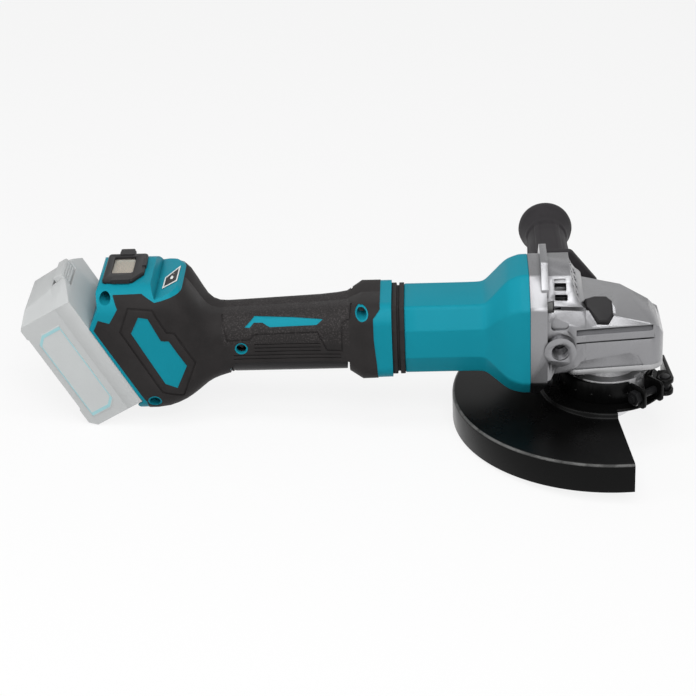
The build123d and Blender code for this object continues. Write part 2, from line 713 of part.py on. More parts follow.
# Skirt welded round the plate, with a bent shoulder and a curled rim
with BuildPart() as guard_skirt:
    with BuildSketch(guard_end):
        Polygon(
            (SKIRT_INNER_R, GUARD_TOP_Z), (GUARD_RADIUS, GUARD_TOP_Z - 4), (GUARD_RADIUS, GUARD_LOW_Z),
            (GUARD_RADIUS - 5, GUARD_LOW_Z), (GUARD_RADIUS - 5, GUARD_LOW_Z + SHEET),
            (GUARD_RADIUS - SHEET, GUARD_LOW_Z + SHEET), (GUARD_RADIUS - SHEET, GUARD_TOP_Z - 4),
            (SKIRT_INNER_R, GUARD_TOP_Z - SHEET), align=None,
        )
    revolve(axis=Axis.Z, revolution_arc=GUARD_SWEEP)
guard_skirt.part.label = "guard_skirt"
export_step(guard_skirt.part, "parts/guard_skirt.step")

# Clamping band welded on the guard, with two ears
CLAMP_ANGLE = -50
CLAMP_Z = 22
NEAR_EAR = CLAMP_ANGLE - 15
FAR_EAR = CLAMP_ANGLE + 15
CLAMP_PLANE = Plane(
    origin=at_angle(46, CLAMP_ANGLE, CLAMP_Z),
    x_dir=at_angle(1, CLAMP_ANGLE),
    z_dir=at_angle(1, CLAMP_ANGLE - 90),
)
with BuildPart() as guard_band:
    with BuildSketch(Plane.XY.offset(GUARD_TOP_Z + 4)) as band_face:
        Circle(37.6)
        Circle(35.4, mode=Mode.SUBTRACT)
        Polygon((0, 0), at_angle(60, NEAR_EAR)[:2], at_angle(60, FAR_EAR)[:2], align=None, mode=Mode.SUBTRACT)
    extrude(amount=18)
    # ears stand square to the clamp screw
    for side in (-9.5, 9.5):
        with BuildSketch(CLAMP_PLANE.offset(side)) as ear_face:
            with Locations((-1.5, 0)):
                RectangleRounded(19, 17, 3)
            Circle(3.1, mode=Mode.SUBTRACT)
        extrude(amount=1.3, both=True)
    with BuildSketch(Plane.XY.offset(GUARD_TOP_Z + 4)):
        Circle(35.4)
    extrude(amount=18, mode=Mode.SUBTRACT)
guard_band.part.label = "guard_band"
export_step(guard_band.part, "parts/guard_band.step")

# Clamp screw with hexagon nut on the near ear and eye on the far one
with BuildPart() as clamp_screw:
    with BuildSketch(CLAMP_PLANE.offset(-20)):
        Circle(3)
    extrude(amount=38)
clamp_screw.part.label = "clamp_screw"
export_step(clamp_screw.part, "parts/clamp_screw.step")

with BuildPart() as clamp_nut:
    with BuildSketch(CLAMP_PLANE.offset(10.8)):
        RegularPolygon(6.4, 6)
        Circle(3, mode=Mode.SUBTRACT)
    extrude(amount=5)
clamp_nut.part.label = "clamp_nut"
export_step(clamp_nut.part, "parts/clamp_nut.step")

# Barrel on the screw end: the clamp lever turns on it
BARREL = CLAMP_PLANE.offset(-20).origin
with BuildPart() as clamp_pin:
    with BuildSketch(Plane.XY.offset(CLAMP_Z - 8)):
        with Locations((BARREL.X, BARREL.Y)):
            Circle(4)
    extrude(amount=16)
    with BuildSketch(CLAMP_PLANE.offset(-20)):
        Circle(3)
    extrude(amount=6, both=True, mode=Mode.SUBTRACT)
clamp_pin.part.label = "clamp_pin"
export_step(clamp_pin.part, "parts/clamp_pin.step")

# Clamp lever: two cheeks on the barrel and a long thumb plate beside the band
LEVER_PLANE = Plane(origin=(BARREL.X, BARREL.Y, CLAMP_Z - 7), x_dir=at_angle(1, 92), z_dir=(0, 0, 1))
with BuildPart() as clamp_lever:
    with BuildSketch(LEVER_PLANE) as cheek_face:
        Circle(7)
        Polygon((0, -7), (38, -4.5), (38, -1.5), (0, 7), align=None)
        Circle(4.05, mode=Mode.SUBTRACT)
    extrude(amount=14)
    # slot for the ear and the screw
    with BuildSketch(LEVER_PLANE.offset(4)) as cheek_slot:
        Polygon((-8, -8), (9, -8), (9, -3), (3, 9), (-8, 9), align=None)
    extrude(amount=6, mode=Mode.SUBTRACT)
    with BuildSketch(LEVER_PLANE) as thumb_cut:
        Polygon((12, -2.5), (40, -1.5), (40, 12), (12, 12), align=None)
    extrude(amount=14, mode=Mode.SUBTRACT)
clamp_lever.part.label = "clamp_lever"
export_step(clamp_lever.part, "parts/clamp_lever.step")

# Side handle: eight-sided hand guard, waisted stem and end bulb, on a threaded stud
HAND_GUARD = [(14.5, 40.5), (36, 13), (36, -13), (14.5, -40.5)]
with BuildPart() as side_handle_grip:
    with BuildSketch(Plane.XY):
        with BuildLine():
            Polyline((0, 49), (16, 49), (16, 52), (30, 52), (30, 58), (20, 66), (17.4, 74))
            Spline(
                (17.4, 74), (18.4, 107), (17.2, 156), (18.5, 168.5), (23.2, 184.5),
                tangents=[(0, 1), (0.3, 1)],
            )
            Spline((23.2, 184.5), (22.5, 191), (18, 195), (0, 197), tangents=[(0.1, 1), (-1, 0)])
            Line((0, 197), (0, 49))
        make_face()
    revolve(axis=Axis.Y)
    with BuildSketch(Plane.XZ.offset(-52)) as guard_plate_face:
        Polygon(*full_outline(HAND_GUARD), align=None)
        fillet(guard_plate_face.vertices(), 5)
    extrude(amount=-4)
    with BuildSketch(Plane.XZ.offset(-56)) as guard_plate_edge:
        Polygon(*full_outline(HAND_GUARD), align=None)
        fillet(guard_plate_edge.vertices(), 5)
    extrude(amount=-3, taper=50)
    with BuildSketch(Plane.XZ.offset(-49)):
        Circle(SPINDLE_THREAD_R)
    extrude(amount=-60, mode=Mode.SUBTRACT)
side_handle_grip_part = side_handle_grip.part.moved(Location((SIDE_SOCKET_X, 0, SIDE_SOCKET_Z)))
side_handle_grip_part.label = "side_handle_grip"
export_step(side_handle_grip_part, "parts/side_handle_grip.step")

with BuildPart() as side_handle_stud:
    with BuildSketch(Plane.XZ.offset(-29)):
        with Locations((SIDE_SOCKET_X, SIDE_SOCKET_Z)):
            Circle(SPINDLE_THREAD_R - 0.05)
    extrude(amount=-79)
    with BuildSketch(Plane.XZ.offset(-47)):
        with Locations((SIDE_SOCKET_X, SIDE_SOCKET_Z)):
            Circle(12)
    extrude(amount=-2)
side_handle_stud.part.label = "side_handle_stud"
export_step(side_handle_stud.part, "parts/side_handle_stud.step")

# Outline of the handle's back end in side view: top step, battery interface and foot
BACK_LINE = [
    (-400, 126), (-403.3, 121), (-402, 110), (-409.8, 92.9),
    (-373, 26.5), (-377.5, 21.5), (-376, 17), (-369, 13),
]
# Valley across the deck behind the dust cover
VALLEY = [(-361.5, 126), (-357, 115.5), (-336, 121), (-334, 126)]
# Side view of the soft grip, teal stripe and teal side panel
SOFT_REGION = [
    (-406.3, 91.5), (-402.3, 100.3), (-393.5, 97.3), (-386.3, 109.5), (-389.6, 119.2), (-367, 119.5),
    (-357, 113.5), (-334, 117.5), (-326.5, 104), (-318, 140), (-181, 140), (-181, 97.5), (-186.4, 91.5),
    (-186.4, 73), (-184.4, 49), (-183, 0), (-368, 0), (-369.5, 26),
]
STRIPE = [
    (-289.4, 82), (-281.2, 88.8), (-251, 88.5), (-226.3, 87.5), (-231.7, 83.3), (-269, 82), (-274.6, 85),
    (-281.6, 85), (-285, 81.7),
]
SIDE_PANEL = [
    (-370.3, 102.5), (-362.9, 101), (-354, 81), (-348, 80.3), (-335.5, 56.5), (-344.2, 37.7), (-353.5, 42.5),
    (-377.1, 88.3),
]
# Screw towers in side view, with outer radius
TOWERS = [(-395.8, 117, 5.6), (-363.2, 26, 5.6), (-292.5, 64.4, 5.2), (-195.3, 94.5, 5.2)]
# Space that the switch lever moves in
LEVER_ROOM = [(-303, 30), (-303, 45), (-298, 51.6), (-206.5, 51.6), (-206.5, 30)]
# Hinge points of the switch lever and its lock-off tab
LEVER_PIVOT = (-295, 56)
LOCK_OFF_PIVOT = (-257, 45.5)
# Indicator panel on the sloping floor of the valley
INDICATOR_PLANE = Plane(origin=(-346.5, -3, 118.25), x_dir=(0.9673, 0, 0.2533), z_dir=(-0.2533, 0, 0.9673))
INDICATOR_POINTS = [(-6, -18), (6, -10), (6.5, 18), (-5.5, 2)]


def handle_envelope(inset):
    with BuildPart() as envelope:
        for x, half_width, top, bottom, corner in HANDLE_STATIONS + FRONT_STATIONS[1:]:
            with BuildSketch(across(x, (top + bottom) / 2)):
                RectangleRounded(2 * (half_width - inset), top - bottom - 2 * inset, corner - inset)
        loft(ruled=True)
        # back end, set in by the wall on the inside
        back = inset if inset > 0 else 0
        with BuildSketch(Plane.XZ):
            shifted = [(x + back, z) for x, z in BACK_LINE]
            Polygon(*shifted, (-369 + back, 0), (-450, 0), (-450, 130), align=None)
        extrude(amount=60, both=True, mode=Mode.SUBTRACT)
        # valley in the deck
        with BuildSketch(Plane.XZ):
            Polygon(*[(x, z - inset) for x, z in VALLEY], (-334, 140), (-361.5, 140), align=None)
        extrude(amount=60, both=True, mode=Mode.SUBTRACT)
    return envelope.part


outer_form = handle_envelope(0)
rubber_form = handle_envelope(-0.5)
skin_form = handle_envelope(SKIN)
cavity_form = handle_envelope(WALL)

# Pocket that the soft grip fills, with the stripes and panels left standing
with BuildPart() as soft_pocket:
    add(rubber_form)
    add(skin_form, mode=Mode.SUBTRACT)
    with BuildSketch(Plane.XZ) as soft_side:
        Polygon(*SOFT_REGION, align=None)
    extrude(amount=60, both=True, mode=Mode.INTERSECT)
    for outline in (STRIPE, SIDE_PANEL):
        with BuildSketch(Plane.XZ.offset(10)):
            Polygon(*outline, align=None)
        extrude(amount=60, mode=Mode.SUBTRACT)
        with BuildSketch(Plane.XZ.offset(-10)):
            Polygon(*outline, align=None)
        extrude(amount=-60, mode=Mode.SUBTRACT)
    with BuildSketch(Plane.XZ.offset(10)):
        for x, z, radius in TOWERS:
            with Locations((x, z)):
                Circle(radius)
    extrude(amount=60, mode=Mode.SUBTRACT)
    with BuildSketch(Plane.XZ) as lever_side:
        Polygon(*LEVER_ROOM, align=None)
    extrude(amount=60, both=True, mode=Mode.SUBTRACT)

# Rails of the tool for the battery, in u and v of the interface
RAIL_FROM = -22
RAIL_TO = 32

# Inner room of the handle, closed at the front by a wall
with BuildPart() as handle_room:
    add(cavity_form)
    with BuildSketch(across(-176)):
        Rectangle(120, 140)
    extrude(amount=10, mode=Mode.SUBTRACT)

# Screw towers: inside the skin, and out to the surface on the right where the screws go in
with BuildPart() as tower_cores:
    with BuildSketch(Plane.XZ.offset(-60)):
        for x, z, radius in TOWERS:
            with Locations((x, z)):
                Circle(radius)
    extrude(amount=120)
    add(skin_form, mode=Mode.INTERSECT)

with BuildPart() as tower_mouths:
    with BuildSketch(Plane.XZ.offset(12)):
        for x, z, radius in TOWERS:
            with Locations((x, z)):
                Circle(radius)
    extrude(amount=48)
    add(outer_form, mode=Mode.INTERSECT)

# Both handle shells before they part on the centre plane
with BuildPart() as handle_body:
    add(outer_form)
    add(soft_pocket.part, mode=Mode.SUBTRACT)
    add(handle_room.part, mode=Mode.SUBTRACT)
    add(tower_cores.part)
    add(tower_mouths.part)
    with BuildSketch(across(-180)):
        Circle(19)
    extrude(amount=12, mode=Mode.SUBTRACT)
    with BuildSketch(Plane.XZ):
        Polygon(*LEVER_ROOM, align=None)
    extrude(amount=60, both=True, mode=Mode.SUBTRACT)
    # side play of the lever inside the walls, and its pivot bores
    with BuildSketch(Plane.XZ):
        Polygon((-303, 40), (-303, 62), (-298, 66), (-206.5, 66), (-206.5, 40), align=None)
    extrude(amount=21.6, both=True, mode=Mode.SUBTRACT)
    with BuildSketch(Plane.XZ):
        with Locations(LEVER_PIVOT):
            Circle(3)
    extrude(amount=23, both=True, mode=Mode.SUBTRACT)
    # air inlet under the dust cover
    with BuildSketch(Plane.XY.offset(110)):
        with Locations((-384.5, 2)):
            Rectangle(16, 28)
    extrude(amount=30, mode=Mode.SUBTRACT)
    # opening for the terminal block
    with BuildSketch(rail_plane(-12)):
        with Locations((12.5, 0)):
            Rectangle(37, 30)
    extrude(amount=13, mode=Mode.SUBTRACT)
    # battery rails, hooked inwards
    for side in (-1, 1):
        with BuildSketch(rail_plane(-1)):
            with Locations(((RAIL_FROM + RAIL_TO) / 2, side * 27)):
                Rectangle(RAIL_TO - RAIL_FROM, 3)
        extrude(amount=8)
        with BuildSketch(rail_plane(4.5)):
            with Locations(((RAIL_FROM + RAIL_TO) / 2, side * 25.25)):
                Rectangle(RAIL_TO - RAIL_FROM, 6.5)
        extrude(amount=2.5)
    # seat of the indicator panel
    with BuildSketch(INDICATOR_PLANE):
        Polygon(*INDICATOR_POINTS, align=None)
    extrude(amount=-1.2, mode=Mode.SUBTRACT)

# Right shell: counterbored for the screws
with BuildPart() as handle_shell_right:
    add(handle_body.part)
    split(bisect_by=Plane.XZ, keep=Keep.TOP)
    with BuildSketch(Plane.XZ.offset(12)):
        for x, z, radius in TOWERS:
            with Locations((x, z)):
                Circle(radius - 1.2)
    extrude(amount=60, mode=Mode.SUBTRACT)
    with BuildSketch(Plane.XZ):
        for x, z, radius in TOWERS:
            with Locations((x, z)):
                Circle(2.1)
    extrude(amount=14, mode=Mode.SUBTRACT)
handle_shell_right.part.label = "handle_shell_right"
export_step(handle_shell_right.part, "parts/handle_shell_right.step")

# Left shell: blind pilot holes
with BuildPart() as handle_shell_left:
    add(handle_body.part)
    split(bisect_by=Plane.XZ, keep=Keep.BOTTOM)
    with BuildSketch(Plane.XZ):
        for x, z, radius in TOWERS:
            with Locations((x, z)):
                Circle(2)
    extrude(amount=-14, mode=Mode.SUBTRACT)
handle_shell_left.part.label = "handle_shell_left"
export_step(handle_shell_left.part, "parts/handle_shell_left.step")

# Screws of the handle shells
with BuildPart() as handle_screws:
    with BuildSketch(Plane.XZ.offset(12)):
        for x, z, radius in TOWERS:
            with Locations((x, z)):
                Circle(radius - 1.4)
    extrude(amount=3.2)
    with BuildSketch(Plane.XZ.offset(12)):
        for x, z, radius in TOWERS:
            with Locations((x, z)):
                Circle(2)
    extrude(amount=-24)
    with BuildSketch(Plane.XZ.offset(15.2)):
        for x, z, radius in TOWERS:
            with Locations((x, z)):
                RegularPolygon(2, 6)
    extrude(amount=-1.8, mode=Mode.SUBTRACT)
handle_screws.part.label = "handle_screws"
export_step(handle_screws.part, "parts/handle_screws.step")

# Grooves pressed into the soft grip: panel outline, fine ribs and a frame round the side panel
groove_floor = handle_envelope(0.5)
GRIP_PANEL = [
    (-308, 100), (-307, 88), (-303, 72), (-286, 72), (-281.5, 76.5), (-231, 78), (-224, 62), (-212, 61.5),
    (-211.5, 85), (-205, 89), (-203, 104),
]
PANEL_FRAME = [
    (-378, 110), (-359, 108), (-349, 88), (-343, 86.5), (-329, 58), (-340, 30), (-356, 35), (-385.5, 90),
]
with BuildPart() as soft_grooves:
    for side in (-1, 1):
        with BuildSketch(Plane.XZ.offset(-side * 12)):
            with BuildLine():
                Polyline(*GRIP_PANEL)
            trace(line_width=1.3)
            with BuildLine():
                Polyline(*PANEL_FRAME, close=True)
            trace(line_width=1.5)
            for z in (55.2, 58.4):
                with BuildLine():
                    Polyline((-299, z), (-213, z))
                trace(line_width=0.9)
            for z in (61.6, 64.8, 68):
                with BuildLine():
                    Polyline((-282, z), (-229, z))
                trace(line_width=0.9)
        extrude(amount=-side * 60)
    add(groove_floor, mode=Mode.SUBTRACT)

with BuildPart() as soft_body:
    add(soft_pocket.part)
    add(soft_grooves.part, mode=Mode.SUBTRACT)

with BuildPart() as grip_overmold_right:
    add(soft_body.part)
    split(bisect_by=Plane.XZ, keep=Keep.TOP)
grip_overmold_right.part.label = "grip_overmold_right"
export_step(grip_overmold_right.part, "parts/grip_overmold_right.step")

with BuildPart() as grip_overmold_left:
    add(soft_body.part)
    split(bisect_by=Plane.XZ, keep=Keep.BOTTOM)
grip_overmold_left.part.label = "grip_overmold_left"
export_step(grip_overmold_left.part, "parts/grip_overmold_left.step")

# Switch lever: trough hinged at its rear end
with BuildPart() as switch_lever:
    with BuildSketch(Plane.XZ) as lever_profile:
        Polygon(
            (-300.5, 41.5), (-298, 39.4), (-283, 38.6), (-253, 38), (-211, 37.6), (-208.6, 40), (-208.6, 56),
            (-285, 56), (-289, 60.5), (-298, 60.5), (-300.5, 57), align=None,
        )
    extrude(amount=21, both=True)
    with BuildSketch(across(-310, 57.6)):
        RectangleRounded(42, 40, 12)
    extrude(amount=110, mode=Mode.INTERSECT)
    with BuildSketch(across(-291, 60.5)):
        RectangleRounded(36.8, 38, 10)
    extrude(amount=80, mode=Mode.SUBTRACT)
    with BuildSketch(across(-302, 66)):
        Rectangle(36.8, 30)
    extrude(amount=14, mode=Mode.SUBTRACT)
    with BuildSketch(Plane.XZ):
        with Locations(LEVER_PIVOT):
            Circle(3.05)
    extrude(amount=30, both=True, mode=Mode.SUBTRACT)
    # rib under the plunger
    with BuildSketch(Plane.XZ):
        with Locations((-228, 47)):
            Rectangle(5, 14)
    extrude(amount=5, both=True)
    # slot and pin posts of the lock-off lever
    with BuildSketch(Plane.XY.offset(36)):
        with Locations((-250, 0)):
            Rectangle(28, 11.4)
    extrude(amount=10, mode=Mode.SUBTRACT)
    for side in (-1, 1):
        with BuildSketch(Plane.XZ.offset(side * 6)):
            with Locations((-257, 44)):
                Rectangle(7, 9)
            with Locations(LOCK_OFF_PIVOT):
                Circle(1.5, mode=Mode.SUBTRACT)
        extrude(amount=side * 3)
switch_lever.part.label = "switch_lever"
export_step(switch_lever.part, "parts/switch_lever.step")

with BuildPart() as lever_pivot_pin:
    with BuildSketch(Plane.XZ):
        with Locations(LEVER_PIVOT):
            Circle(3)
    extrude(amount=23, both=True)
lever_pivot_pin.part.label = "lever_pivot_pin"
export_step(lever_pivot_pin.part, "parts/lever_pivot_pin.step")

# Lock-off lever: small tab that must be swung before the lever can be squeezed
with BuildPart() as lock_off_lever:
    with BuildSketch(Plane.XZ) as tab_profile:
        Polygon(
            (-260, 43.5), (-259, 42), (-254.5, 35), (-248.5, 34.6),
            (-250.5, 43), (-254.5, 48.4), (-259, 48), align=None,
        )
        with Locations(LOCK_OFF_PIVOT):
            Circle(1.55, mode=Mode.SUBTRACT)
    extrude(amount=5, both=True)
lock_off_lever.part.label = "lock_off_lever"
export_step(lock_off_lever.part, "parts/lock_off_lever.step")

with BuildPart() as lock_off_pin:
    with BuildSketch(Plane.XZ):
        with Locations(LOCK_OFF_PIVOT):
            Circle(1.5)
    extrude(amount=9, both=True)
lock_off_pin.part.label = "lock_off_pin"
export_step(lock_off_pin.part, "parts/lock_off_pin.step")

# Return spring of the switch lever
with BuildPart() as lever_spring:
    with BuildLine() as lever_coil:
        Helix(pitch=3.4, height=24, radius=4, center=(-217, 0, 42.6))
    with BuildSketch(Plane(origin=lever_coil.line @ 0, z_dir=lever_coil.line % 0)):
        Circle(0.6)
    sweep()
lever_spring.part.label = "lever_spring"
export_step(lever_spring.part, "parts/lever_spring.step")

# Switch in the grip and its plunger
with BuildPart() as switch_body:
    with BuildSketch(Plane.XY.offset(67.6)):
        with Locations((-241, 0)):
            RectangleRounded(62, 24, 2)
    extrude(amount=17)
    with BuildSketch(Plane.XY.offset(67.6)):
        with Locations((-228, 0)):
            Circle(3.8)
    extrude(amount=11, mode=Mode.SUBTRACT)
switch_body.part.label = "switch_body"
export_step(switch_body.part, "parts/switch_body.step")

with BuildPart() as switch_plunger:
    with BuildSketch(Plane.XY.offset(54.8)):
        with Locations((-228, 0)):
            Circle(3.5)
    extrude(amount=16)
switch_plunger.part.label = "switch_plunger"
export_step(switch_plunger.part, "parts/switch_plunger.step")

# Motor controller in a finned tray
with BuildPart() as controller:
    with BuildSketch(Plane.XY.offset(36)):
        with Locations((-353, 0)):
            RectangleRounded(22, 50, 2)
    extrude(amount=62)
    with BuildSketch(across(-364, 67)):
        with GridLocations(5, 1, 9, 1):
            Rectangle(2.4, 58)
    extrude(amount=5, mode=Mode.SUBTRACT)
controller.part.label = "controller"
export_step(controller.part, "parts/controller.step")

# Terminal block in the interface and its blades
with BuildPart() as terminal_block:
    with BuildSketch(rail_plane(-9)):
        with Locations((12.5, 0)):
            Rectangle(36, 29)
    extrude(amount=15)
terminal_block.part.label = "terminal_block"
export_step(terminal_block.part, "parts/terminal_block.step")

with BuildPart() as terminal_blades:
    for v in (-10, -4, 4, 10):
        with BuildSketch(rail_plane(6)):
            with Locations((14, v)):
                Rectangle(20, 0.9)
        extrude(amount=1.4)
terminal_blades.part.label = "terminal_blades"
export_step(terminal_blades.part, "parts/terminal_blades.step")

# Dust cover on the deck: frame with a finger tab, and its mesh
with BuildPart() as dust_cover_frame:
    with BuildSketch(Plane.XY.offset(124.05)) as cover_face:
        Polygon((-399, -24), (-375, -24), (-367, -10), (-367, 25), (-399, 25), align=None)
        fillet(cover_face.vertices(), 3)
        with Locations((-384, 27.5)):
            RectangleRounded(13, 10, 2.5)
        with Locations((-384.5, 4)):
            RectangleRounded(17, 30, 2, mode=Mode.SUBTRACT)
    extrude(amount=3.2)
    chamfer(dust_cover_frame.faces().sort_by(Axis.Z)[-1].outer_wire().edges(), 0.9)
dust_cover_frame.part.label = "dust_cover_frame"
export_step(dust_cover_frame.part, "parts/dust_cover_frame.step")

with BuildPart() as dust_cover_mesh:
    with BuildSketch(Plane.XY.offset(124.6)):
        with Locations((-384.5, 4)):
            RectangleRounded(17, 30, 2)
    extrude(amount=0.8)
dust_cover_mesh.part.label = "dust_cover_mesh"
export_step(dust_cover_mesh.part, "parts/dust_cover_mesh.step")

# Indicator panel in the valley
with BuildPart() as indicator_panel:
    with BuildSketch(INDICATOR_PLANE.offset(-1.2)) as indicator_face:
        Polygon(*INDICATOR_POINTS, align=None)
        offset(amount=-0.15)
    extrude(amount=1.5)
indicator_panel.part.label = "indicator_panel"
export_step(indicator_panel.part, "parts/indicator_panel.step")

# Battery pack in side view: u down the rails, w out of the tool
PACK_SIDE = Plane(origin=RAIL_ORIGIN, x_dir=RAIL_DOWN, z_dir=(0, 1, 0))
SEAM_W = 14

# Top with rail grooves and terminal channel, open at the low end
with BuildPart() as battery_top:
    with BuildSketch(PACK_SIDE) as top_face:
        Polygon((-77, 0.5), (38.5, 0.5), (38.5, SEAM_W), (-75, SEAM_W), align=None)
        fillet(top_face.vertices().group_by(Axis.X)[0].group_by(Axis.Y)[0], 3)
    extrude(amount=BATTERY_HALF, both=True)
    with BuildSketch(rail_plane(10)):
        with Locations((-15, 0)):
            Rectangle(102, 75)
    extrude(amount=10, mode=Mode.SUBTRACT)
    with BuildSketch(rail_plane(0)):
        with Locations((15, 0)):
            Rectangle(50, 31)
    extrude(amount=8, mode=Mode.SUBTRACT)
    for side in (-1, 1):
        with BuildSketch(rail_plane(0)):
            with Locations((8, side * 27)):
                Rectangle(64, 3.8)
        extrude(amount=7.5, mode=Mode.SUBTRACT)
        with BuildSketch(rail_plane(4)):
            with Locations((8, side * 25.25)):
                Rectangle(64, 7.4)
        extrude(amount=3.5, mode=Mode.SUBTRACT)
    # pocket of the release button
    with BuildSketch(rail_plane(0)):
        with Locations((-75, 0)):
            Rectangle(15.2, 31)
    extrude(amount=20, mode=Mode.SUBTRACT)
battery_top.part.label = "battery_top"
export_step(battery_top.part, "parts/battery_top.step")

# Case under the top
with BuildPart() as battery_case:
    with BuildSketch(PACK_SIDE) as case_face:
        Polygon((-75, SEAM_W), (38.5, SEAM_W), (38.5, 48.5), (-66, 48.5), align=None)
        fillet(case_face.vertices().group_by(Axis.Y)[-1], 7)
    extrude(amount=BATTERY_HALF, both=True)
    fillet(battery_case.faces().sort_by(Axis.Y)[0].edges().sort_by(Axis(RAIL_ORIGIN, RAIL_OUT))[1:], 3)
    fillet(battery_case.faces().sort_by(Axis.Y)[-1].edges().sort_by(Axis(RAIL_ORIGIN, RAIL_OUT))[1:], 3)
    with BuildSketch(rail_plane(SEAM_W)):
        with Locations((-13.5, 0)):
            Rectangle(99, 75)
    extrude(amount=32.6, mode=Mode.SUBTRACT)
battery_case.part.label = "battery_case"
export_step(battery_case.part, "parts/battery_case.step")

# Ten cells in two rows
with BuildPart() as battery_cells:
    with BuildSketch(PACK_SIDE):
        with Locations((-14.5, 28.4)):
            with GridLocations(18.4, 18.2, 5, 2):
                Circle(9)
    extrude(amount=32.5, both=True)
battery_cells.part.label = "battery_cells"
export_step(battery_cells.part, "parts/battery_cells.step")

# Release button at the top end
with BuildPart() as battery_button:
    with BuildSketch(PACK_SIDE) as button_face:
        Polygon((-79.5, 2.4), (-78, 1.5), (-68.2, 1.5), (-68.2, 9.5), (-79.5, 9.5), align=None)
    extrude(amount=15, both=True)
    with BuildSketch(rail_plane(1.5)):
        with Locations((-73.5, 0)):
            with GridLocations(2.6, 1, 3, 1):
                Rectangle(1, 24)
    extrude(amount=0.6, mode=Mode.SUBTRACT)
battery_button.part.label = "battery_button"
export_step(battery_button.part, "parts/battery_button.step")

# Plain label plates on both sides of the pack
with BuildPart() as battery_labels:
    for side in (-1, 1):
        with BuildSketch(PACK_SIDE.offset(side * BATTERY_HALF)) as label_face:
            Polygon((-52, 19), (24, 19), (30, 25), (30, 42), (-46, 42), (-52, 36), align=None)
        extrude(amount=side * 0.5)
battery_labels.part.label = "battery_labels"
export_step(battery_labels.part, "parts/battery_labels.step")
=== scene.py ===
import json
import math

import bmesh
import bpy
from mathutils import Matrix, Quaternion, Vector


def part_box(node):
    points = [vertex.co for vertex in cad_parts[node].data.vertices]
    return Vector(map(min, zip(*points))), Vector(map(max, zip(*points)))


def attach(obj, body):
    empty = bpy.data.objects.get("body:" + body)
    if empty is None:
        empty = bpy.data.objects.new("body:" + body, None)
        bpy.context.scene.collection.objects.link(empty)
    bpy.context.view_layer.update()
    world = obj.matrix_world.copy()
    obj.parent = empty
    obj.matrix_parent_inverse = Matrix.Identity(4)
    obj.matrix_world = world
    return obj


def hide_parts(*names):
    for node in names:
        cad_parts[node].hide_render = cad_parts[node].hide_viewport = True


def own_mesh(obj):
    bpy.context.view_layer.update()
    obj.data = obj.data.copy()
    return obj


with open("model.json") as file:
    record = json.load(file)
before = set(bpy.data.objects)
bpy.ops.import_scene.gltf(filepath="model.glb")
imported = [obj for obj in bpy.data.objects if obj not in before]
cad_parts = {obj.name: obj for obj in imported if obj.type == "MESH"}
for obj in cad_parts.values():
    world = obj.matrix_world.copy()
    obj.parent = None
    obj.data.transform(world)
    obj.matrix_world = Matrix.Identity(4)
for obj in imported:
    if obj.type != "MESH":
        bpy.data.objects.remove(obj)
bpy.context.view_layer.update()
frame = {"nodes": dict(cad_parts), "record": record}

MM = 0.001
nodes = frame["nodes"]
record = frame["record"]
node_body = {node: body for body, members in record["behaviour"]["bodies"].items() for node in members}
node_slot = {part["node"]: part["material_slot"] for part in record["subparts"]}
studio = bpy.context.scene


# Finishes: helpers that build node materials

def start_finish(name):
    """A new material, its node tree and its Principled shader."""
    finish = bpy.data.materials.new(name)
    finish.use_nodes = True
    tree = finish.node_tree
    tree.nodes.clear()
    shader = tree.nodes.new("ShaderNodeBsdfPrincipled")
    output = tree.nodes.new("ShaderNodeOutputMaterial")
    tree.links.new(shader.outputs["BSDF"], output.inputs["Surface"])
    return finish, tree, shader


def put(tree, kind, settings=None, **sockets):
    """Adds a node. Socket names are written with _ for a space."""
    node = tree.nodes.new(kind)
    for name, value in (settings or {}).items():
        setattr(node, name, value)
    for name, value in sockets.items():
        fill(tree, node.inputs[name.replace("_", " ")], value)
    return node


def fill(tree, socket, value):
    """Links another socket or sets a plain value."""
    if isinstance(value, bpy.types.NodeSocket):
        tree.links.new(value, socket)
    else:
        socket.default_value = value


def place(tree):
    """Where a point of a piece is, in metres in the tool's frame."""
    return put(tree, "ShaderNodeTexCoord").outputs["Object"]


def cloud(tree, scale, detail=4.0, roughness=0.6, where=None):
    """Soft noise between 0 and 1. The scale counts blotches per metre."""
    where = where or place(tree)
    node = put(tree, "ShaderNodeTexNoise", Vector=where, Scale=scale, Detail=detail, Roughness=roughness)
    return node.outputs["Fac"]


def pebbles(tree, scale, where):
    """Rounded cells like a moulded leather grain."""
    node = put(tree, "ShaderNodeTexVoronoi", {"feature": "SMOOTH_F1"}, Vector=where, Scale=scale)
    return node.outputs["Distance"]


def spread(tree, value, low, high, start=0.0, end=1.0):
    """Maps a value that runs from start to end onto low to high."""
    node = put(tree, "ShaderNodeMapRange", Value=value)
    for name, number in (("From Min", start), ("From Max", end), ("To Min", low), ("To Max", high)):
        node.inputs[name].default_value = number
    return node.outputs["Result"]


def sums(tree, action, first, second):
    """A step of arithmetic on two values."""
    node = tree.nodes.new("ShaderNodeMath")
    node.operation = action
    fill(tree, node.inputs[0], first)
    fill(tree, node.inputs[1], second)
    return node.outputs["Value"]


def tint(tree, amount, dark, light):
    """A colour between two, by an amount from 0 to 1."""
    node = put(tree, "ShaderNodeMix", {"data_type": "RGBA"})
    fill(tree, node.inputs["Factor"], amount)
    fill(tree, node.inputs[6], dark)
    fill(tree, node.inputs[7], light)
    return node.outputs[2]


def relief(tree, height, strength, depth):
    """A normal that shows a height as bumps of a depth in metres."""
    return put(tree, "ShaderNodeBump", Height=height, Strength=strength, Distance=depth).outputs["Normal"]


def srgb(red, green, blue):
    """A colour of the renderer from its screen values."""
    def linear(value):
        value = value / 255
        return value / 12.92 if value <= 0.04045 else ((value + 0.055) / 1.055) ** 2.4
    return (linear(red), linear(green), linear(blue), 1.0)


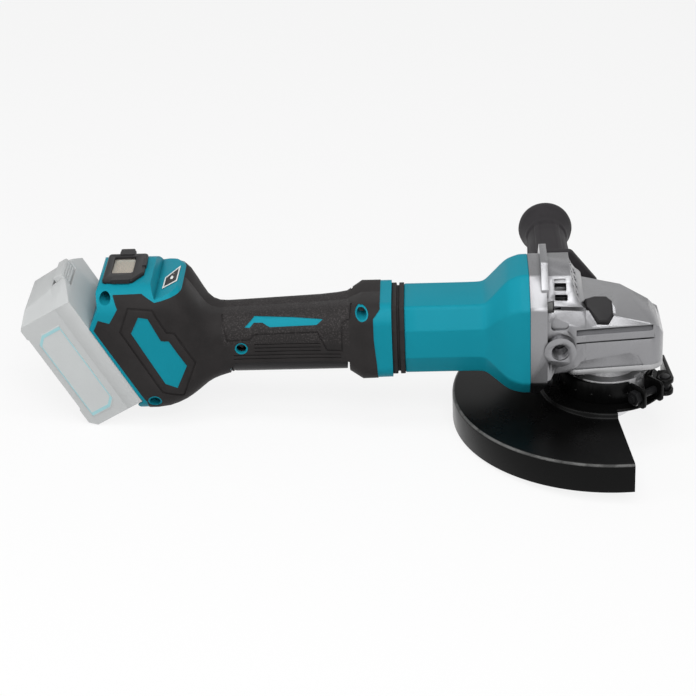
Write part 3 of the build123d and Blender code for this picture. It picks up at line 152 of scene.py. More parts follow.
def shade(colour, factor):
    return tuple(channel * factor for channel in colour[:3]) + (1.0,)


def painted_recess_shade(tree, reach, darkest):
    """Painted shade: falls from 1 on open faces to darkest in grooves and corners, where shade falls."""
    open_share = put(tree, "ShaderNodeAmbientOcclusion", {"samples": 8, "only_local": True}, Distance=reach)
    return spread(tree, open_share.outputs["AO"], darkest, 1.0, 0.25, 0.85)


def moulded_plastic(name, colour, gloss, grain=2600.0, grain_depth=0.00006, shine=0.15, wells=False):
    """Injection moulded plastic: spark-eroded grain and faint flow clouds; painted shade darkens deep wells
    if asked.
    """
    finish, tree, shader = start_finish(name)
    flow = cloud(tree, scale=22.0, detail=3.0)
    skin = cloud(tree, scale=grain, detail=2.0, roughness=0.7)
    clean = tint(tree, flow, shade(colour, 0.93), shade(colour, 1.06))
    if wells:
        # Painted shade: deep wells fall to a tenth of the colour
        clean = tint(tree, painted_recess_shade(tree, SHADE_REACH, 0.0), shade(colour, 0.1), clean)
    fill(tree, shader.inputs["Base Color"], clean)
    fill(tree, shader.inputs["Roughness"], spread(tree, skin, gloss - 0.05, gloss + 0.07, 0.3, 0.7))
    fill(tree, shader.inputs["Normal"], relief(tree, skin, 0.35, grain_depth))
    shader.inputs["Specular IOR Level"].default_value = shine
    return finish


def soft_grip_rubber(name, colour, pebble=1500.0, panel=None):
    """Soft-touch rubber with a leathery pebble; the hand panel is grained more coarsely."""
    finish, tree, shader = start_finish(name)
    where = place(tree)
    grain = pebbles(tree, pebble, where)
    dust = cloud(tree, scale=60.0, detail=5.0, roughness=0.65, where=where)
    speckle = cloud(tree, scale=900.0, detail=2.0, where=where)
    strength = 0.45
    amount = spread(tree, dust, 0.0, 0.2, 0.35, 0.75)
    if panel:
        low_x, high_x, low_z = panel
        axes = put(tree, "ShaderNodeSeparateXYZ", Vector=where)
        past_back = spread(tree, axes.outputs["X"], 0.0, 1.0, low_x, low_x + PANEL_FADE)
        before_front = spread(tree, axes.outputs["X"], 1.0, 0.0, high_x - PANEL_FADE, high_x)
        above_lever = spread(tree, axes.outputs["Z"], 0.0, 1.0, low_z, low_z + 2 * PANEL_FADE)
        inside = sums(tree, "MULTIPLY", sums(tree, "MULTIPLY", past_back, before_front), above_lever)
        strength = spread(tree, inside, 0.35, 0.9)
        speckled = sums(tree, "MULTIPLY", inside, spread(tree, speckle, 0.0, 0.8, 0.5, 0.68))
        amount = sums(tree, "ADD", amount, speckled)
    fill(tree, shader.inputs["Base Color"], tint(tree, amount, shade(colour, 0.85), shade(colour, 2.7)))
    fill(tree, shader.inputs["Roughness"], spread(tree, dust, 0.56, 0.72, 0.3, 0.7))
    fill(tree, shader.inputs["Normal"], relief(tree, grain, strength, 0.00016))
    shader.inputs["Specular IOR Level"].default_value = 0.1
    return finish


def blasted_casting(name, colour, roughness):
    """Die-cast aluminium, bead blasted: fine sparkle over a soft uneven tone, with painted shade in the
    grooves.
    """
    finish, tree, shader = start_finish(name)
    where = place(tree)
    tone = cloud(tree, scale=45.0, detail=5.0, where=where)
    sparkle = cloud(tree, scale=3200.0, detail=3.0, roughness=0.7, where=where)
    clean = tint(tree, tone, shade(colour, 0.9), shade(colour, 1.1))
    # Painted shade: grooves and corners fall to a sixth of the casting's tone, where shade falls
    painted_shade = painted_recess_shade(tree, SHADE_REACH, 0.0)
    fill(tree, shader.inputs["Base Color"], tint(tree, painted_shade, shade(colour, 0.16), clean))
    uneven = spread(tree, sparkle, roughness - 0.08, roughness + 0.1, 0.3, 0.7)
    fill(tree, shader.inputs["Roughness"], uneven)
    fill(tree, shader.inputs["Normal"], relief(tree, sparkle, 0.5, 0.00009))
    shader.inputs["Metallic"].default_value = 1.0
    return finish


def turned_metal(name, colour, roughness, rings=900.0, axis="Z"):
    """Lathe-turned metal: fine rings along the turning axis."""
    finish, tree, shader = start_finish(name)
    where = place(tree)
    rings_node = put(tree, "ShaderNodeTexWave", {"wave_type": "BANDS", "bands_direction": axis},
                     Vector=where, Scale=rings, Distortion=1.5, Detail=2.0)
    tone = cloud(tree, scale=70.0, where=where)
    fill(tree, shader.inputs["Base Color"], tint(tree, tone, shade(colour, 0.85), shade(colour, 1.08)))
    fill(tree, shader.inputs["Roughness"], spread(tree, tone, roughness - 0.05, roughness + 0.1, 0.3, 0.7))
    fill(tree, shader.inputs["Normal"], relief(tree, rings_node.outputs["Fac"], 0.25, 0.00003))
    shader.inputs["Metallic"].default_value = 1.0
    return finish


def painted_rim_highlight(tree, where):
    """1 on the bend of the guard's rim, where a highlight is painted, 0 elsewhere; broken up by noise."""
    axes = put(tree, "ShaderNodeSeparateXYZ", Vector=where)
    flat = put(tree, "ShaderNodeCombineXYZ", X=axes.outputs["X"], Y=axes.outputs["Y"]).outputs["Vector"]
    radius = put(tree, "ShaderNodeVectorMath", {"operation": "LENGTH"}, Vector=flat).outputs["Value"]
    out_and_up = sums(tree, "ADD", radius, axes.outputs["Z"])
    crest = spread(tree, out_and_up, 0.0, 1.0, GUARD_CREST - 0.0005, GUARD_CREST - 0.0001)
    patchy = spread(tree, cloud(tree, scale=90.0, where=where), 0.35, 1.0, 0.35, 0.6)
    return sums(tree, "MULTIPLY", crest, patchy)


def coated_steel(name, colour, gloss):
    """Black powder coat on pressed steel: slight orange peel, with a painted highlight along the rim's bend.
    """
    finish, tree, shader = start_finish(name)
    where = place(tree)
    peel = cloud(tree, scale=420.0, detail=2.0, roughness=0.5, where=where)
    tone = cloud(tree, scale=30.0, where=where)
    coat = tint(tree, tone, shade(colour, 0.8), shade(colour, 1.35))
    # Painted highlight: the rim's bend turns to a lighter grey
    fill(tree, shader.inputs["Base Color"], tint(tree, painted_rim_highlight(tree, where), coat, RIM_HIGHLIGHT_GREY))
    fill(tree, shader.inputs["Roughness"], spread(tree, tone, gloss - 0.04, gloss + 0.08, 0.3, 0.7))
    fill(tree, shader.inputs["Normal"], relief(tree, peel, 0.2, 0.00008))
    shader.inputs["Specular IOR Level"].default_value = 0.08
    return finish


def printed_film(name, colour, gloss):
    """Label film or printing: the same plastic with a shallower skin."""
    return moulded_plastic(name, colour, gloss, grain=900.0, grain_depth=0.00002)


def enamelled_copper(name):
    """Wound copper wire: strands across the coil."""
    finish, tree, shader = start_finish(name)
    strands = put(tree, "ShaderNodeTexWave", {"wave_type": "BANDS", "bands_direction": "X"},
                  Vector=place(tree), Scale=420.0, Distortion=0.6)
    dark, light = srgb(92, 44, 20), srgb(196, 112, 62)
    fill(tree, shader.inputs["Base Color"], tint(tree, strands.outputs["Fac"], dark, light))
    fill(tree, shader.inputs["Normal"], relief(tree, strands.outputs["Fac"], 0.8, 0.0003))
    shader.inputs["Metallic"].default_value = 0.9
    shader.inputs["Roughness"].default_value = 0.32
    return finish


# Finishes of this tool: places in metres, colours as the eye sees them

# Radius plus height of the rounded bend at the guard's rim
GUARD_CREST = 0.13224
# How far the painted shade reaches into grooves and corners
SHADE_REACH = 0.006
PANEL_FADE = 0.002
# Lighter grey painted on the guard's rim bend as a highlight
RIM_HIGHLIGHT_GREY = srgb(98, 98, 97)
TEAL = srgb(20, 134, 152)
RUBBER_BLACK = srgb(42, 40, 40)
PLASTIC_BLACK = srgb(36, 35, 36)
PACK_GREY = srgb(188, 190, 190)
# Back end, front end and lower edge of the grained panel on the handle
HAND_PANEL = (-0.308, -0.205, 0.066)

teal_housing = moulded_plastic("teal_housing", TEAL, 0.42, shine=0.06, wells=True)
grip_rubber = soft_grip_rubber("grip_rubber", RUBBER_BLACK, panel=HAND_PANEL)
handle_rubber = soft_grip_rubber("handle_rubber", srgb(50, 48, 50))
black_moulding = moulded_plastic("black_moulding", PLASTIC_BLACK, 0.45)
pack_moulding = moulded_plastic("pack_moulding", PACK_GREY, 0.45)
pack_label = printed_film("pack_label", srgb(194, 197, 197), 0.3)
label_teal = printed_film("label_teal", srgb(158, 200, 205), 0.3)
print_white = printed_film("print_white", srgb(226, 228, 226), 0.35)
print_grey = printed_film("print_grey", srgb(120, 124, 124), 0.35)
head_casting = blasted_casting("head_casting", srgb(127, 127, 129), 0.31)
# A darker copy of the casting, painted as shade in the slots under the shoulders
painted_slot_shade = blasted_casting("painted_slot_shade", srgb(76, 76, 78), 0.5)
machined_box = turned_metal("machined_box", srgb(158, 158, 159), 0.45, 700.0)
ground_steel = turned_metal("ground_steel", srgb(190, 190, 192), 0.26)
motor_steel = turned_metal("motor_steel", srgb(150, 150, 153), 0.35, 700.0, "X")
guard_coat = coated_steel("guard_coat", srgb(6, 6, 6), 0.28)
fastener_black = coated_steel("fastener_black", srgb(22, 22, 23), 0.3)
winding_copper = enamelled_copper("winding_copper")
cell_wrap = moulded_plastic("cell_wrap", srgb(70, 112, 138), 0.35)
filter_metal = turned_metal("filter_metal", srgb(188, 181, 170), 0.4)

SLOT_FINISH = {
    "teal_plastic": teal_housing,
    "soft_grip": grip_rubber,
    "cast_aluminium": head_casting,
    "black_steel": guard_coat,
    "bright_steel": ground_steel,
    "copper": winding_copper,
    "black_plastic": black_moulding,
    "seal_rubber": handle_rubber,
    "filter_mesh": filter_metal,
    "pale_plastic": pack_moulding,
    "label_film": pack_label,
    "cell_can": cell_wrap,
}
NODE_FINISH = {
    "side_handle_grip": handle_rubber,
    "bearing_box": machined_box,
    "rotor": motor_steel,
    "stator": motor_steel,
    "handle_screws": fastener_black,
    "gear_housing_screws": fastener_black,
    "clamp_screw": fastener_black,
    "clamp_nut": fastener_black,
    "clamp_pin": fastener_black,
}
for node, cad_object in nodes.items():
    cad_object.data.materials.clear()
    cad_object.data.materials.append(NODE_FINISH.get(node) or SLOT_FINISH[node_slot[node]])


# Pieces: helpers that make meshes and hang them on the tool

MERGE = 0.004 * MM
FLAT_ANGLE = math.radians(0.8)


def new_piece(name, mesh, finish):
    piece = bpy.data.objects.new(name, mesh)
    studio.collection.objects.link(piece)
    mesh.materials.clear()
    mesh.materials.append(finish)
    return piece


def settle(piece):
    """Applies the modifiers of a piece to its mesh."""
    evaluated = piece.evaluated_get(bpy.context.evaluated_depsgraph_get())
    mesh = bpy.data.meshes.new_from_object(evaluated)
    mesh.name = piece.name
    piece.modifiers.clear()
    piece.data = mesh
    return piece


def mount(piece, body, slot, *stands_for):
    """Hangs a piece on a body, in place of the CAD nodes that it stands for."""
    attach(piece, body)
    if stands_for:
        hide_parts(*stands_for)
    return piece


def rounded_edges(piece, width, sharp=40, steps=3):
    """Bevels the edges of a piece that are sharper than an angle; the width is in millimetres."""
    bevel = piece.modifiers.new("edges", "BEVEL")
    bevel.width = width * MM
    bevel.segments = steps
    bevel.limit_method = "ANGLE"
    bevel.angle_limit = math.radians(sharp)
    bevel.use_clamp_overlap = True
    bevel.harden_normals = True
    bpy.context.view_layer.update()
    return settle(piece)


def softened(node, edge, trim=None):
    """A copy of a CAD node with its edges rounded as moulding, casting or pressing leaves them."""
    shape = bmesh.new()
    shape.from_mesh(nodes[node].data)
    bmesh.ops.remove_doubles(shape, verts=shape.verts, dist=MERGE)
    bmesh.ops.dissolve_limit(shape, angle_limit=FLAT_ANGLE, verts=shape.verts, edges=shape.edges)
    if trim:
        trim(shape)
    mesh = bpy.data.meshes.new(node + "_skin")
    shape.to_mesh(mesh)
    shape.free()
    for face in mesh.polygons:
        face.use_smooth = True
    piece = new_piece(node + "_skin", mesh, nodes[node].data.materials[0])
    rounded_edges(piece, edge, sharp=32, steps=2)
    return mount(piece, node_body[node], node_slot[node], node)


# Width of the rounded edges of each node, in millimetres
SOFT_EDGES = {
    "gear_housing": 0.8,
    "bearing_box": 0.5,
    "guard_band": 0.4,
    "clamp_lever": 0.6,
    "clamp_nut": 0.4,
    "clamp_pin": 0.4,
    "shaft_lock_button": 0.5,
    "damper_ring": 0.5,
    "grip_overmold_right": 0.35,
    "grip_overmold_left": 0.35,
    "side_handle_stud": 0.4,
    "switch_lever": 0.7,
    "lock_off_lever": 0.4,
    "dust_cover_frame": 0.4,
    "battery_button": 0.5,
    "inner_flange": 0.4,
    "lock_nut": 0.5,
}
SLOT_LOW_Z, SLOT_HIGH_Z = 75.4, 80.9
SLOT_BACK_X, SLOT_FRONT_X = -27.5, 34.5
SLOT_UPWARD, SLOT_SIDEWAYS = 0.3, 0.5


def paint_slot_shade(housing):
    """The slots under the shoulders get a darker copy of the casting: painted shade, as the shoulders
    overhang them.
    """
    housing.data.materials.append(painted_slot_shade)
    for face in housing.data.polygons:
        middle = face.center / MM
        in_slot = SLOT_BACK_X < middle.x < SLOT_FRONT_X and SLOT_LOW_Z < middle.z < SLOT_HIGH_Z
        if in_slot and face.normal.z > SLOT_UPWARD and abs(face.normal.y) > SLOT_SIDEWAYS:
            face.material_index = 1


for node, edge in SOFT_EDGES.items():
    soft_copy = softened(node, edge)
    if node == "gear_housing":
        paint_slot_shade(soft_copy)


# Plates and turned sheet, from outlines in millimetres

def seat(origin, across, outward):
    """Frame of a flat place: x across, z outward, origin in millimetres."""
    x_axis = Vector(across).normalized()
    z_axis = Vector(outward).normalized()
    y_axis = z_axis.cross(x_axis)
    turn = Matrix((x_axis, y_axis, z_axis)).transposed().to_4x4()
    return Matrix.Translation(Vector(origin) * MM) @ turn


def oval(width, height, middle, steps=40):
    """An oval outline round a middle."""
    angles = [2 * math.pi * step / steps for step in range(steps)]
    return [(middle[0] + width / 2 * math.cos(a), middle[1] + height / 2 * math.sin(a)) for a in angles]


def inset(points, share):
    """The outline drawn in towards its middle."""
    mid_x = sum(x for x, y in points) / len(points)
    mid_y = sum(y for x, y in points) / len(points)
    return [(x + (mid_x - x) * share, y + (mid_y - y) * share) for x, y in points]


def finished_mesh(name, shape, sharp=35):
    """A mesh with its faces outward, smooth but for the edges sharper than an angle."""
    bmesh.ops.recalc_face_normals(shape, faces=shape.faces)
    mesh = bpy.data.meshes.new(name)
    shape.to_mesh(mesh)
    shape.free()
    for face in mesh.polygons:
        face.use_smooth = True
    mesh.set_sharp_from_angle(angle=math.radians(sharp))
    return mesh


def plate(name, outline, place_on, low, high, finish, opening=None):
    """A flat plate between two heights on a seat, with an opening of as many corners."""
    shape = bmesh.new()

    def ring(points, height):
        return [shape.verts.new(place_on @ (Vector((x, y, height)) * MM)) for x, y in points]

    def walls(lower, upper):
        for i in range(len(lower)):
            j = (i + 1) % len(lower)
            shape.faces.new((lower[i], lower[j], upper[j], upper[i]))

    base, top = ring(outline, low), ring(outline, high)
    walls(base, top)
    if opening:
        hole_base, hole_top = ring(opening, low), ring(opening, high)
        walls(hole_base, hole_top)
        walls(top, hole_top)
        walls(base, hole_base)
    else:
        shape.faces.new(top)
        shape.faces.new(base)
    return new_piece(name, finished_mesh(name, shape), finish)


def bend(mid_r, mid_z, radius, start, end, steps=5):
    """An arc (r, z) of a sheet's section, between two angles in degrees."""
    angles = [math.radians(start + (end - start) * step / steps) for step in range(steps + 1)]
    return [(mid_r + radius * math.cos(a), mid_z + radius * math.sin(a)) for a in angles]


def skin(shape, rings):
    """Covers a row of rings of equal count, in millimetres, and caps its two ends."""
    loops = [[shape.verts.new(Vector(point) * MM) for point in ring] for ring in rings]
    for first, second in zip(loops, loops[1:]):
        for i in range(len(first)):
            j = (i + 1) % len(first)
            shape.faces.new((first[i], first[j], second[j], second[i]))
    shape.faces.new(loops[0])
    shape.faces.new(loops[-1])


def sweep_section(shape, section, start, turn, steps):
    """Turns a closed section (r, z) round the spindle axis."""
    rings = []
    for step in range(steps + 1):
        angle = math.radians(start + turn * step / steps)
        rings.append([(r * math.cos(angle), r * math.sin(angle), z) for r, z in section])
    skin(shape, rings)


def rounded(corners, radius, steps=6):
    """A closed outline whose corners are arcs."""
    outline = []
    for i, corner in enumerate(corners):
        here = Vector(corner)
        before = (Vector(corners[i - 1]) - here).normalized()
        after = (Vector(corners[(i + 1) % len(corners)]) - here).normalized()
        half = before.angle(after) / 2
        middle = here + (before + after).normalized() * (radius / math.sin(half))
        first = here + before * (radius / math.tan(half)) - middle
        last = here + after * (radius / math.tan(half)) - middle
        turns = [first.slerp(last, step / steps).normalized() for step in range(steps + 1)]
        outline += [tuple(middle + turn * radius) for turn in turns]
    return outline


def both_sides(half):
    """A whole outline from its right half, listed from the top down."""
    return half + [(-y, z) for y, z in reversed(half)]


# Motor housing: a barrel with eight soft corners that flares to the gear housing

MOTOR_Z = 67
BARREL_HALF = [(22.5, 29.5), (30, 12), (30, -12), (22.5, -29.5)]
COLLAR_HALF = [(20, 54), (45, 36), (45, -30), (30, -46)]
BARREL_CORNER, COLLAR_CORNER = 4.5, 6.5
BARREL_BACK_X, COLLAR_FRONT_X = -162, -63
FLARE_START_X, FLARE_LENGTH, FLARE_SOFT = -98, 17.5, 0.16
LEAD_START_X, LEAD_LENGTH, LEAD_SOFT = -81, 11, 0.12
FLARE_SHARE = 0.84
COARSE_STEP, FINE_FROM_X = 12, -112
# How far the rounded ends reach in along the housing, and the share by which they are drawn in
BACK_ROUND, BACK_DRAWN_IN = 0.8, 0.025
FRONT_ROUND, FRONT_DRAWN_IN = 0.6, 0.014


def soft_rise(value, soft):
    """0 before 0, 1 after 1, and a straight rise between them with rounded ends."""
    return (1 + math.hypot(value, soft) - math.hypot(1 - value, soft)) / 2


def flare(x):
    """Steep from the barrel, then a gentler lead to the collar."""
    steep = soft_rise((x - FLARE_START_X) / FLARE_LENGTH, FLARE_SOFT)
    lead = soft_rise((x - LEAD_START_X) / LEAD_LENGTH, LEAD_SOFT)
    return FLARE_SHARE * steep + (1 - FLARE_SHARE) * lead


def barrel_ring(x, drawn_in=0.0):
    """The outline of the housing at a place along it, drawn in by a share where an end is rounded."""
    amount = flare(x)
    corners = [
        (y + (far_y - y) * amount, z + (far_z - z) * amount)
        for (y, z), (far_y, far_z) in zip(both_sides(BARREL_HALF), both_sides(COLLAR_HALF))
    ]
    corner_radius = BARREL_CORNER + (COLLAR_CORNER - BARREL_CORNER) * amount
    outline = inset(rounded(corners, corner_radius), drawn_in)
    return [(x, y, MOTOR_Z + z) for y, z in outline]


def mould_motor_housing():
    rings = [barrel_ring(BARREL_BACK_X, BACK_DRAWN_IN), barrel_ring(BARREL_BACK_X + BACK_ROUND)]
    rings += [barrel_ring(x) for x in range(BARREL_BACK_X + COARSE_STEP, FINE_FROM_X, COARSE_STEP)]
    rings += [barrel_ring(x) for x in range(FINE_FROM_X, COLLAR_FRONT_X)]
    rings += [barrel_ring(COLLAR_FRONT_X - FRONT_ROUND), barrel_ring(COLLAR_FRONT_X, FRONT_DRAWN_IN)]
    shape = bmesh.new()
    skin(shape, rings)
    piece = new_piece("motor_barrel", finished_mesh("motor_barrel", shape, 50), teal_housing)
    mount(piece, "body", "teal_plastic", "motor_housing")


# Battery: slanted shoulders at its upper end, two feet at its outer face

# Places on the pack are (down along its rail, out from the rail) from PACK_ORIGIN
RAIL_TURN = math.radians(61)
PACK_DOWN = Vector((math.cos(RAIL_TURN), 0, -math.sin(RAIL_TURN)))
PACK_OUT = Vector((-math.sin(RAIL_TURN), 0, -math.cos(RAIL_TURN)))
PACK_ORIGIN = Vector((-391.9, 0, 60.5))
PACK_HALF = 40
PACK_TOP, PACK_END = -75, 38.5
PACK_BACK, PACK_FOOT = 47.2, 48.5
PACK_SIDE = [
    (PACK_TOP, 14), (-72, 40.5), (-62.6, 48.2), (-54, 48.2), (-52.8, PACK_BACK), (18.4, PACK_BACK),
    (20, PACK_FOOT), (33, PACK_FOOT), (PACK_END, 43), (PACK_END, 14),
]
# Where the slanted shoulders leave the pack's end and where they reach its sides: (down, half width)
SHOULDER_START = (PACK_TOP, 20)
SHOULDER_END = (-65, PACK_HALF)


def slant_shoulders(shape):
    """Cuts both upper corners of the pack off, from the middle of its end to its sides."""
    run_down = SHOULDER_END[0] - SHOULDER_START[0]
    run_out = SHOULDER_END[1] - SHOULDER_START[1]
    for side in (-1, 1):
        start = PACK_ORIGIN + PACK_DOWN * SHOULDER_START[0] + Vector((0, side * SHOULDER_START[1], 0))
        outward = (Vector((0, side * run_down, 0)) - PACK_DOWN * run_out).normalized()
        everything = shape.verts[:] + shape.edges[:] + shape.faces[:]
        cut = bmesh.ops.bisect_plane(
            shape, geom=everything, plane_co=start * MM, plane_no=outward, clear_outer=True
        )
        rim = [item for item in cut["geom_cut"] if isinstance(item, bmesh.types.BMEdge)]
        bmesh.ops.holes_fill(shape, edges=rim)


def mould_battery():
    side = seat(PACK_ORIGIN, PACK_DOWN, (0, 1, 0))
    outline = rounded(PACK_SIDE, 0.6, 4)
    case = plate("battery_body", outline, side, -PACK_HALF, PACK_HALF, pack_moulding)
    shape = bmesh.new()
    shape.from_mesh(case.data)
    slant_shoulders(shape)
    shape.to_mesh(case.data)
    shape.free()
    rounded_edges(case, 2.0)
    mount(case, "battery", "pale_plastic", "battery_case")
    softened("battery_top", 0.8, trim=slant_shoulders)


# Side handle: eight-sided hand guard and a waisted grip with six sunk panels

HANDLE_X, HANDLE_Z = -40, 66
HAND_GUARD_HALF = [(14.5, 40.5), (36, 13), (36, -13), (14.5, -40.5)]
HAND_GUARD_Y, HAND_GUARD_THICK, HAND_GUARD_CORNER = 52, 6.6, 5
# Place along the grip and its radius there
GRIP_STATIONS = [
    (49, 15), (49.8, 16), (53, 16), (54, 25), (58, 25), (61, 23.4), (66, 19.7), (74, 17.5), (90, 17.9),
    (107, 18.4), (130, 18), (150, 17.3), (160, 17.4), (168.5, 18.6), (176, 20.6), (182, 22.6), (186, 23.3),
    (190, 22.7), (193.4, 20.2), (195.6, 16), (196.7, 10), (197, 3),
]
RING_STEP = 1.2
GRIP_PANELS, PANEL_DEPTH = 6, 0.9
PANEL_START_Y, PANEL_END_Y, PANEL_STEP = 82, 164, 2
PANEL_FLAT, PANEL_RIM = 0.34, 0.39


def ramp(value, start, end):
    """0 before start, 1 after end, smooth between."""
    share = min(max((value - start) / (end - start), 0), 1)
    return share * share * (3 - 2 * share)


def grip_ring(y, radius, steps=144):
    """One ring of the grip; the middle of each panel is sunk, out to a rim beside its neighbours."""
    past_start = ramp(y, PANEL_START_Y, PANEL_START_Y + PANEL_STEP)
    before_end = 1 - ramp(y, PANEL_END_Y - PANEL_STEP, PANEL_END_Y)
    sunk = PANEL_DEPTH * past_start * before_end
    ring = []
    for step in range(steps):
        angle = 2 * math.pi * step / steps
        off_middle = abs((step * GRIP_PANELS / steps) % 1 - 0.5)
        here = radius - sunk * (1 - ramp(off_middle, PANEL_FLAT, PANEL_RIM))
        ring.append((HANDLE_X + here * math.cos(angle), y, HANDLE_Z + here * math.sin(angle)))
    return ring


def mould_side_handle():
    rings = []
    for (y, radius), (next_y, next_radius) in zip(GRIP_STATIONS, GRIP_STATIONS[1:]):
        steps = max(1, round((next_y - y) / RING_STEP))
        for step in range(steps):
            share = step / steps
            rings.append(grip_ring(y + (next_y - y) * share, radius + (next_radius - radius) * share))
    rings.append(grip_ring(*GRIP_STATIONS[-1]))
    shape = bmesh.new()
    skin(shape, rings)
    grip = new_piece("side_handle_stem", finished_mesh("side_handle_stem", shape, 45), handle_rubber)
    mount(grip, "body", "soft_grip", "side_handle_grip")
    face = seat((HANDLE_X, HAND_GUARD_Y, HANDLE_Z), (1, 0, 0), (0, 1, 0))
    outline = rounded(both_sides(HAND_GUARD_HALF), HAND_GUARD_CORNER)
    guard = plate("hand_guard", outline, face, 0, HAND_GUARD_THICK, handle_rubber)
    rounded_edges(guard, 1.4)
    mount(guard, "body", "soft_grip")


mould_motor_housing()
mould_battery()
mould_side_handle()


# Wheel guard: one pressed sheet with a rounded bend, a curled rim and a raised collar

GUARD_START, GUARD_TURN = 96, 180
# Closed sections (r, z): up the neck, over the raised collar and the plate, round the rim and back inside
GUARD_SHEET = (
    [(35.5, 7), (35.5, 12.6), (35.9, 13), (51.4, 13)]
    + bend(51.4, 11.4, 1.6, 80, 15, 4)
    + bend(54.8, 10.6, 1.6, 195, 270, 4)
    + [(122, 9)]
    + bend(122, 6, 3, 80, 0)
    + bend(123.8, -14.8, 1.2, 0, -90)
    + [(120.5, -16), (120, -15.5), (120, -14.5), (120.5, -14), (122.3, -14)]
    + bend(122.3, -13.3, 0.7, -60, 0, 2)
    + bend(122, 6, 1, 0, 90, 3)
)
GUARD_COLLAR = [(35.5, 9), (35.5, 12.6), (35.9, 13), (46.2, 13), (47, 12.2), (47, 11), (40, 11), (40, 9)]


def press_guard():
    shape = bmesh.new()
    sweep_section(shape, GUARD_SHEET, GUARD_START, GUARD_TURN, 120)
    sweep_section(shape, GUARD_COLLAR, GUARD_START + GUARD_TURN, 360 - GUARD_TURN, 80)
    piece = new_piece("guard_sheet", finished_mesh("guard_sheet", shape), guard_coat)
    mount(piece, "guard", "black_steel", "wheel_guard", "guard_skirt")


press_guard()


# Springs of the lever and the shaft lock button, copied from their CAD nodes

# Joint that presses the spring, axis of the coil, its fixed end in millimetres, share left when pressed
SPRINGS = {
    "lever_spring": ("lever_squeeze", (0, 0, 1), (-217, 0, 67.2), 0.68),
    "shaft_lock_spring": ("shaft_lock_press", (0, -0.6428, 0.766), (-9, -20.6, 84.65), 0.34),
}


def wind_springs():
    for node, (joint, axis, fixed_end, pressed_share) in SPRINGS.items():
        shape = bmesh.new()
        shape.from_mesh(nodes[node].data)
        bmesh.ops.remove_doubles(shape, verts=shape.verts, dist=MERGE)
        name = node + "_coil"
        coil = new_piece(name, finished_mesh(name, shape), nodes[node].data.materials[0])
        mount(coil, node_body[node], node_slot[node], node)
        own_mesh(coil)


wind_springs()


# Small plates: indicator in the valley, label borders, heel of the lever, clips of the dust cover

INDICATOR = [(-6, -18), (6, -10), (6.5, 18), (-5.5, 2)]
INDICATOR_MIDDLE = (-346.5, -3, 118.25)
INDICATOR_ALONG, INDICATOR_UP = (0.9673, 0, 0.2533), (-0.2533, 0, 0.9673)
PRINT_LOW, PRINT_HIGH, LIGHT_HIGH = 0.25, 0.5, 0.55
LABEL = [(-52, 19), (24, 19), (30, 25), (30, 42), (-46, 42), (-52, 36)]
LABEL_FACE, LABEL_LOW, LABEL_HIGH = 40.5, -0.1, 0.18
HEEL_SIDE = [(-302.6, 41.2), (-302.6, 44.8), (-299.8, 45.2), (-299.8, 40.4), (-301.4, 39.8)]
HEEL_HALF = 17
COVER_TOP = (-384, 0, 127.25)
CLIP_LOW = -2.4
# Outline of each clip seen from above, and its height over the cover
COVER_CLIPS = {
    "cover_front_clip": (
        [(-7, -25.6), (7, -25.6), (7.6, -24.8), (5.6, -17.4), (-5.6, -17.4), (-7.6, -24.8)],
        0.9,
    ),
    "cover_back_clip": (
        [(-5, 21.4), (5, 21.4), (5.6, 22.4), (5.6, 31), (4.8, 31.8), (-4.8, 31.8), (-5.6, 31), (-5.6, 22.4)],
        0.7,
    ),
    "cover_side_clip": ([(14.6, 0), (17.6, 1), (17.6, 13), (14.6, 14)], 0.6),
}


def dress_indicator():
    floor = seat(INDICATOR_MIDDLE, INDICATOR_ALONG, INDICATOR_UP)
    rim = inset(INDICATOR, 0.03)
    field = inset(INDICATOR, 0.2)
    border = plate("indicator_border", rim, floor, PRINT_LOW, PRINT_HIGH, print_white, field)
    mount(border, "body", "black_plastic")
    lamp = oval(2.6, 5.6, middle=(0.6, -1.2))
    light = plate("indicator_light", lamp, floor, PRINT_LOW, LIGHT_HIGH, print_white)
    mount(light, "body", "black_plastic")
    pane = oval(1.6, 2.2, middle=(1.6, 5.2))
    window = plate("indicator_window", pane, floor, PRINT_LOW, PRINT_HIGH, print_grey)
    mount(window, "body", "black_plastic")


def edge_labels():
    for side, name in ((-1, "right"), (1, "left")):
        face = seat(PACK_ORIGIN + Vector((0, side * LABEL_FACE, 0)), PACK_DOWN, (0, side, 0))
        outline = [(down, side * out) for down, out in LABEL]
        rim = inset(outline, 0.02)
        field = inset(outline, 0.085)
        border = plate("label_border_" + name, rim, face, LABEL_LOW, LABEL_HIGH, label_teal, field)
        mount(border, "battery", "label_film")


def close_lever_heel():
    """The heel of the switch lever reaches back to the handle and swings away from it."""
    side = seat((0, 0, 0), (1, 0, 0), (0, -1, 0))
    heel = plate("lever_heel", HEEL_SIDE, side, -HEEL_HALF, HEEL_HALF, black_moulding)
    mount(heel, "switch_lever", node_slot["switch_lever"])


def clip_dust_cover():
    top = seat(COVER_TOP, (1, 0, 0), (0, 0, 1))
    for name, (outline, height) in COVER_CLIPS.items():
        clip = plate(name, outline, top, CLIP_LOW, height, black_moulding)
        mount(clip, "dust_cover", "black_plastic")


dress_indicator()
edge_labels()
close_lever_heel()
clip_dust_cover()


# Repeated details, grown with Geometry Nodes

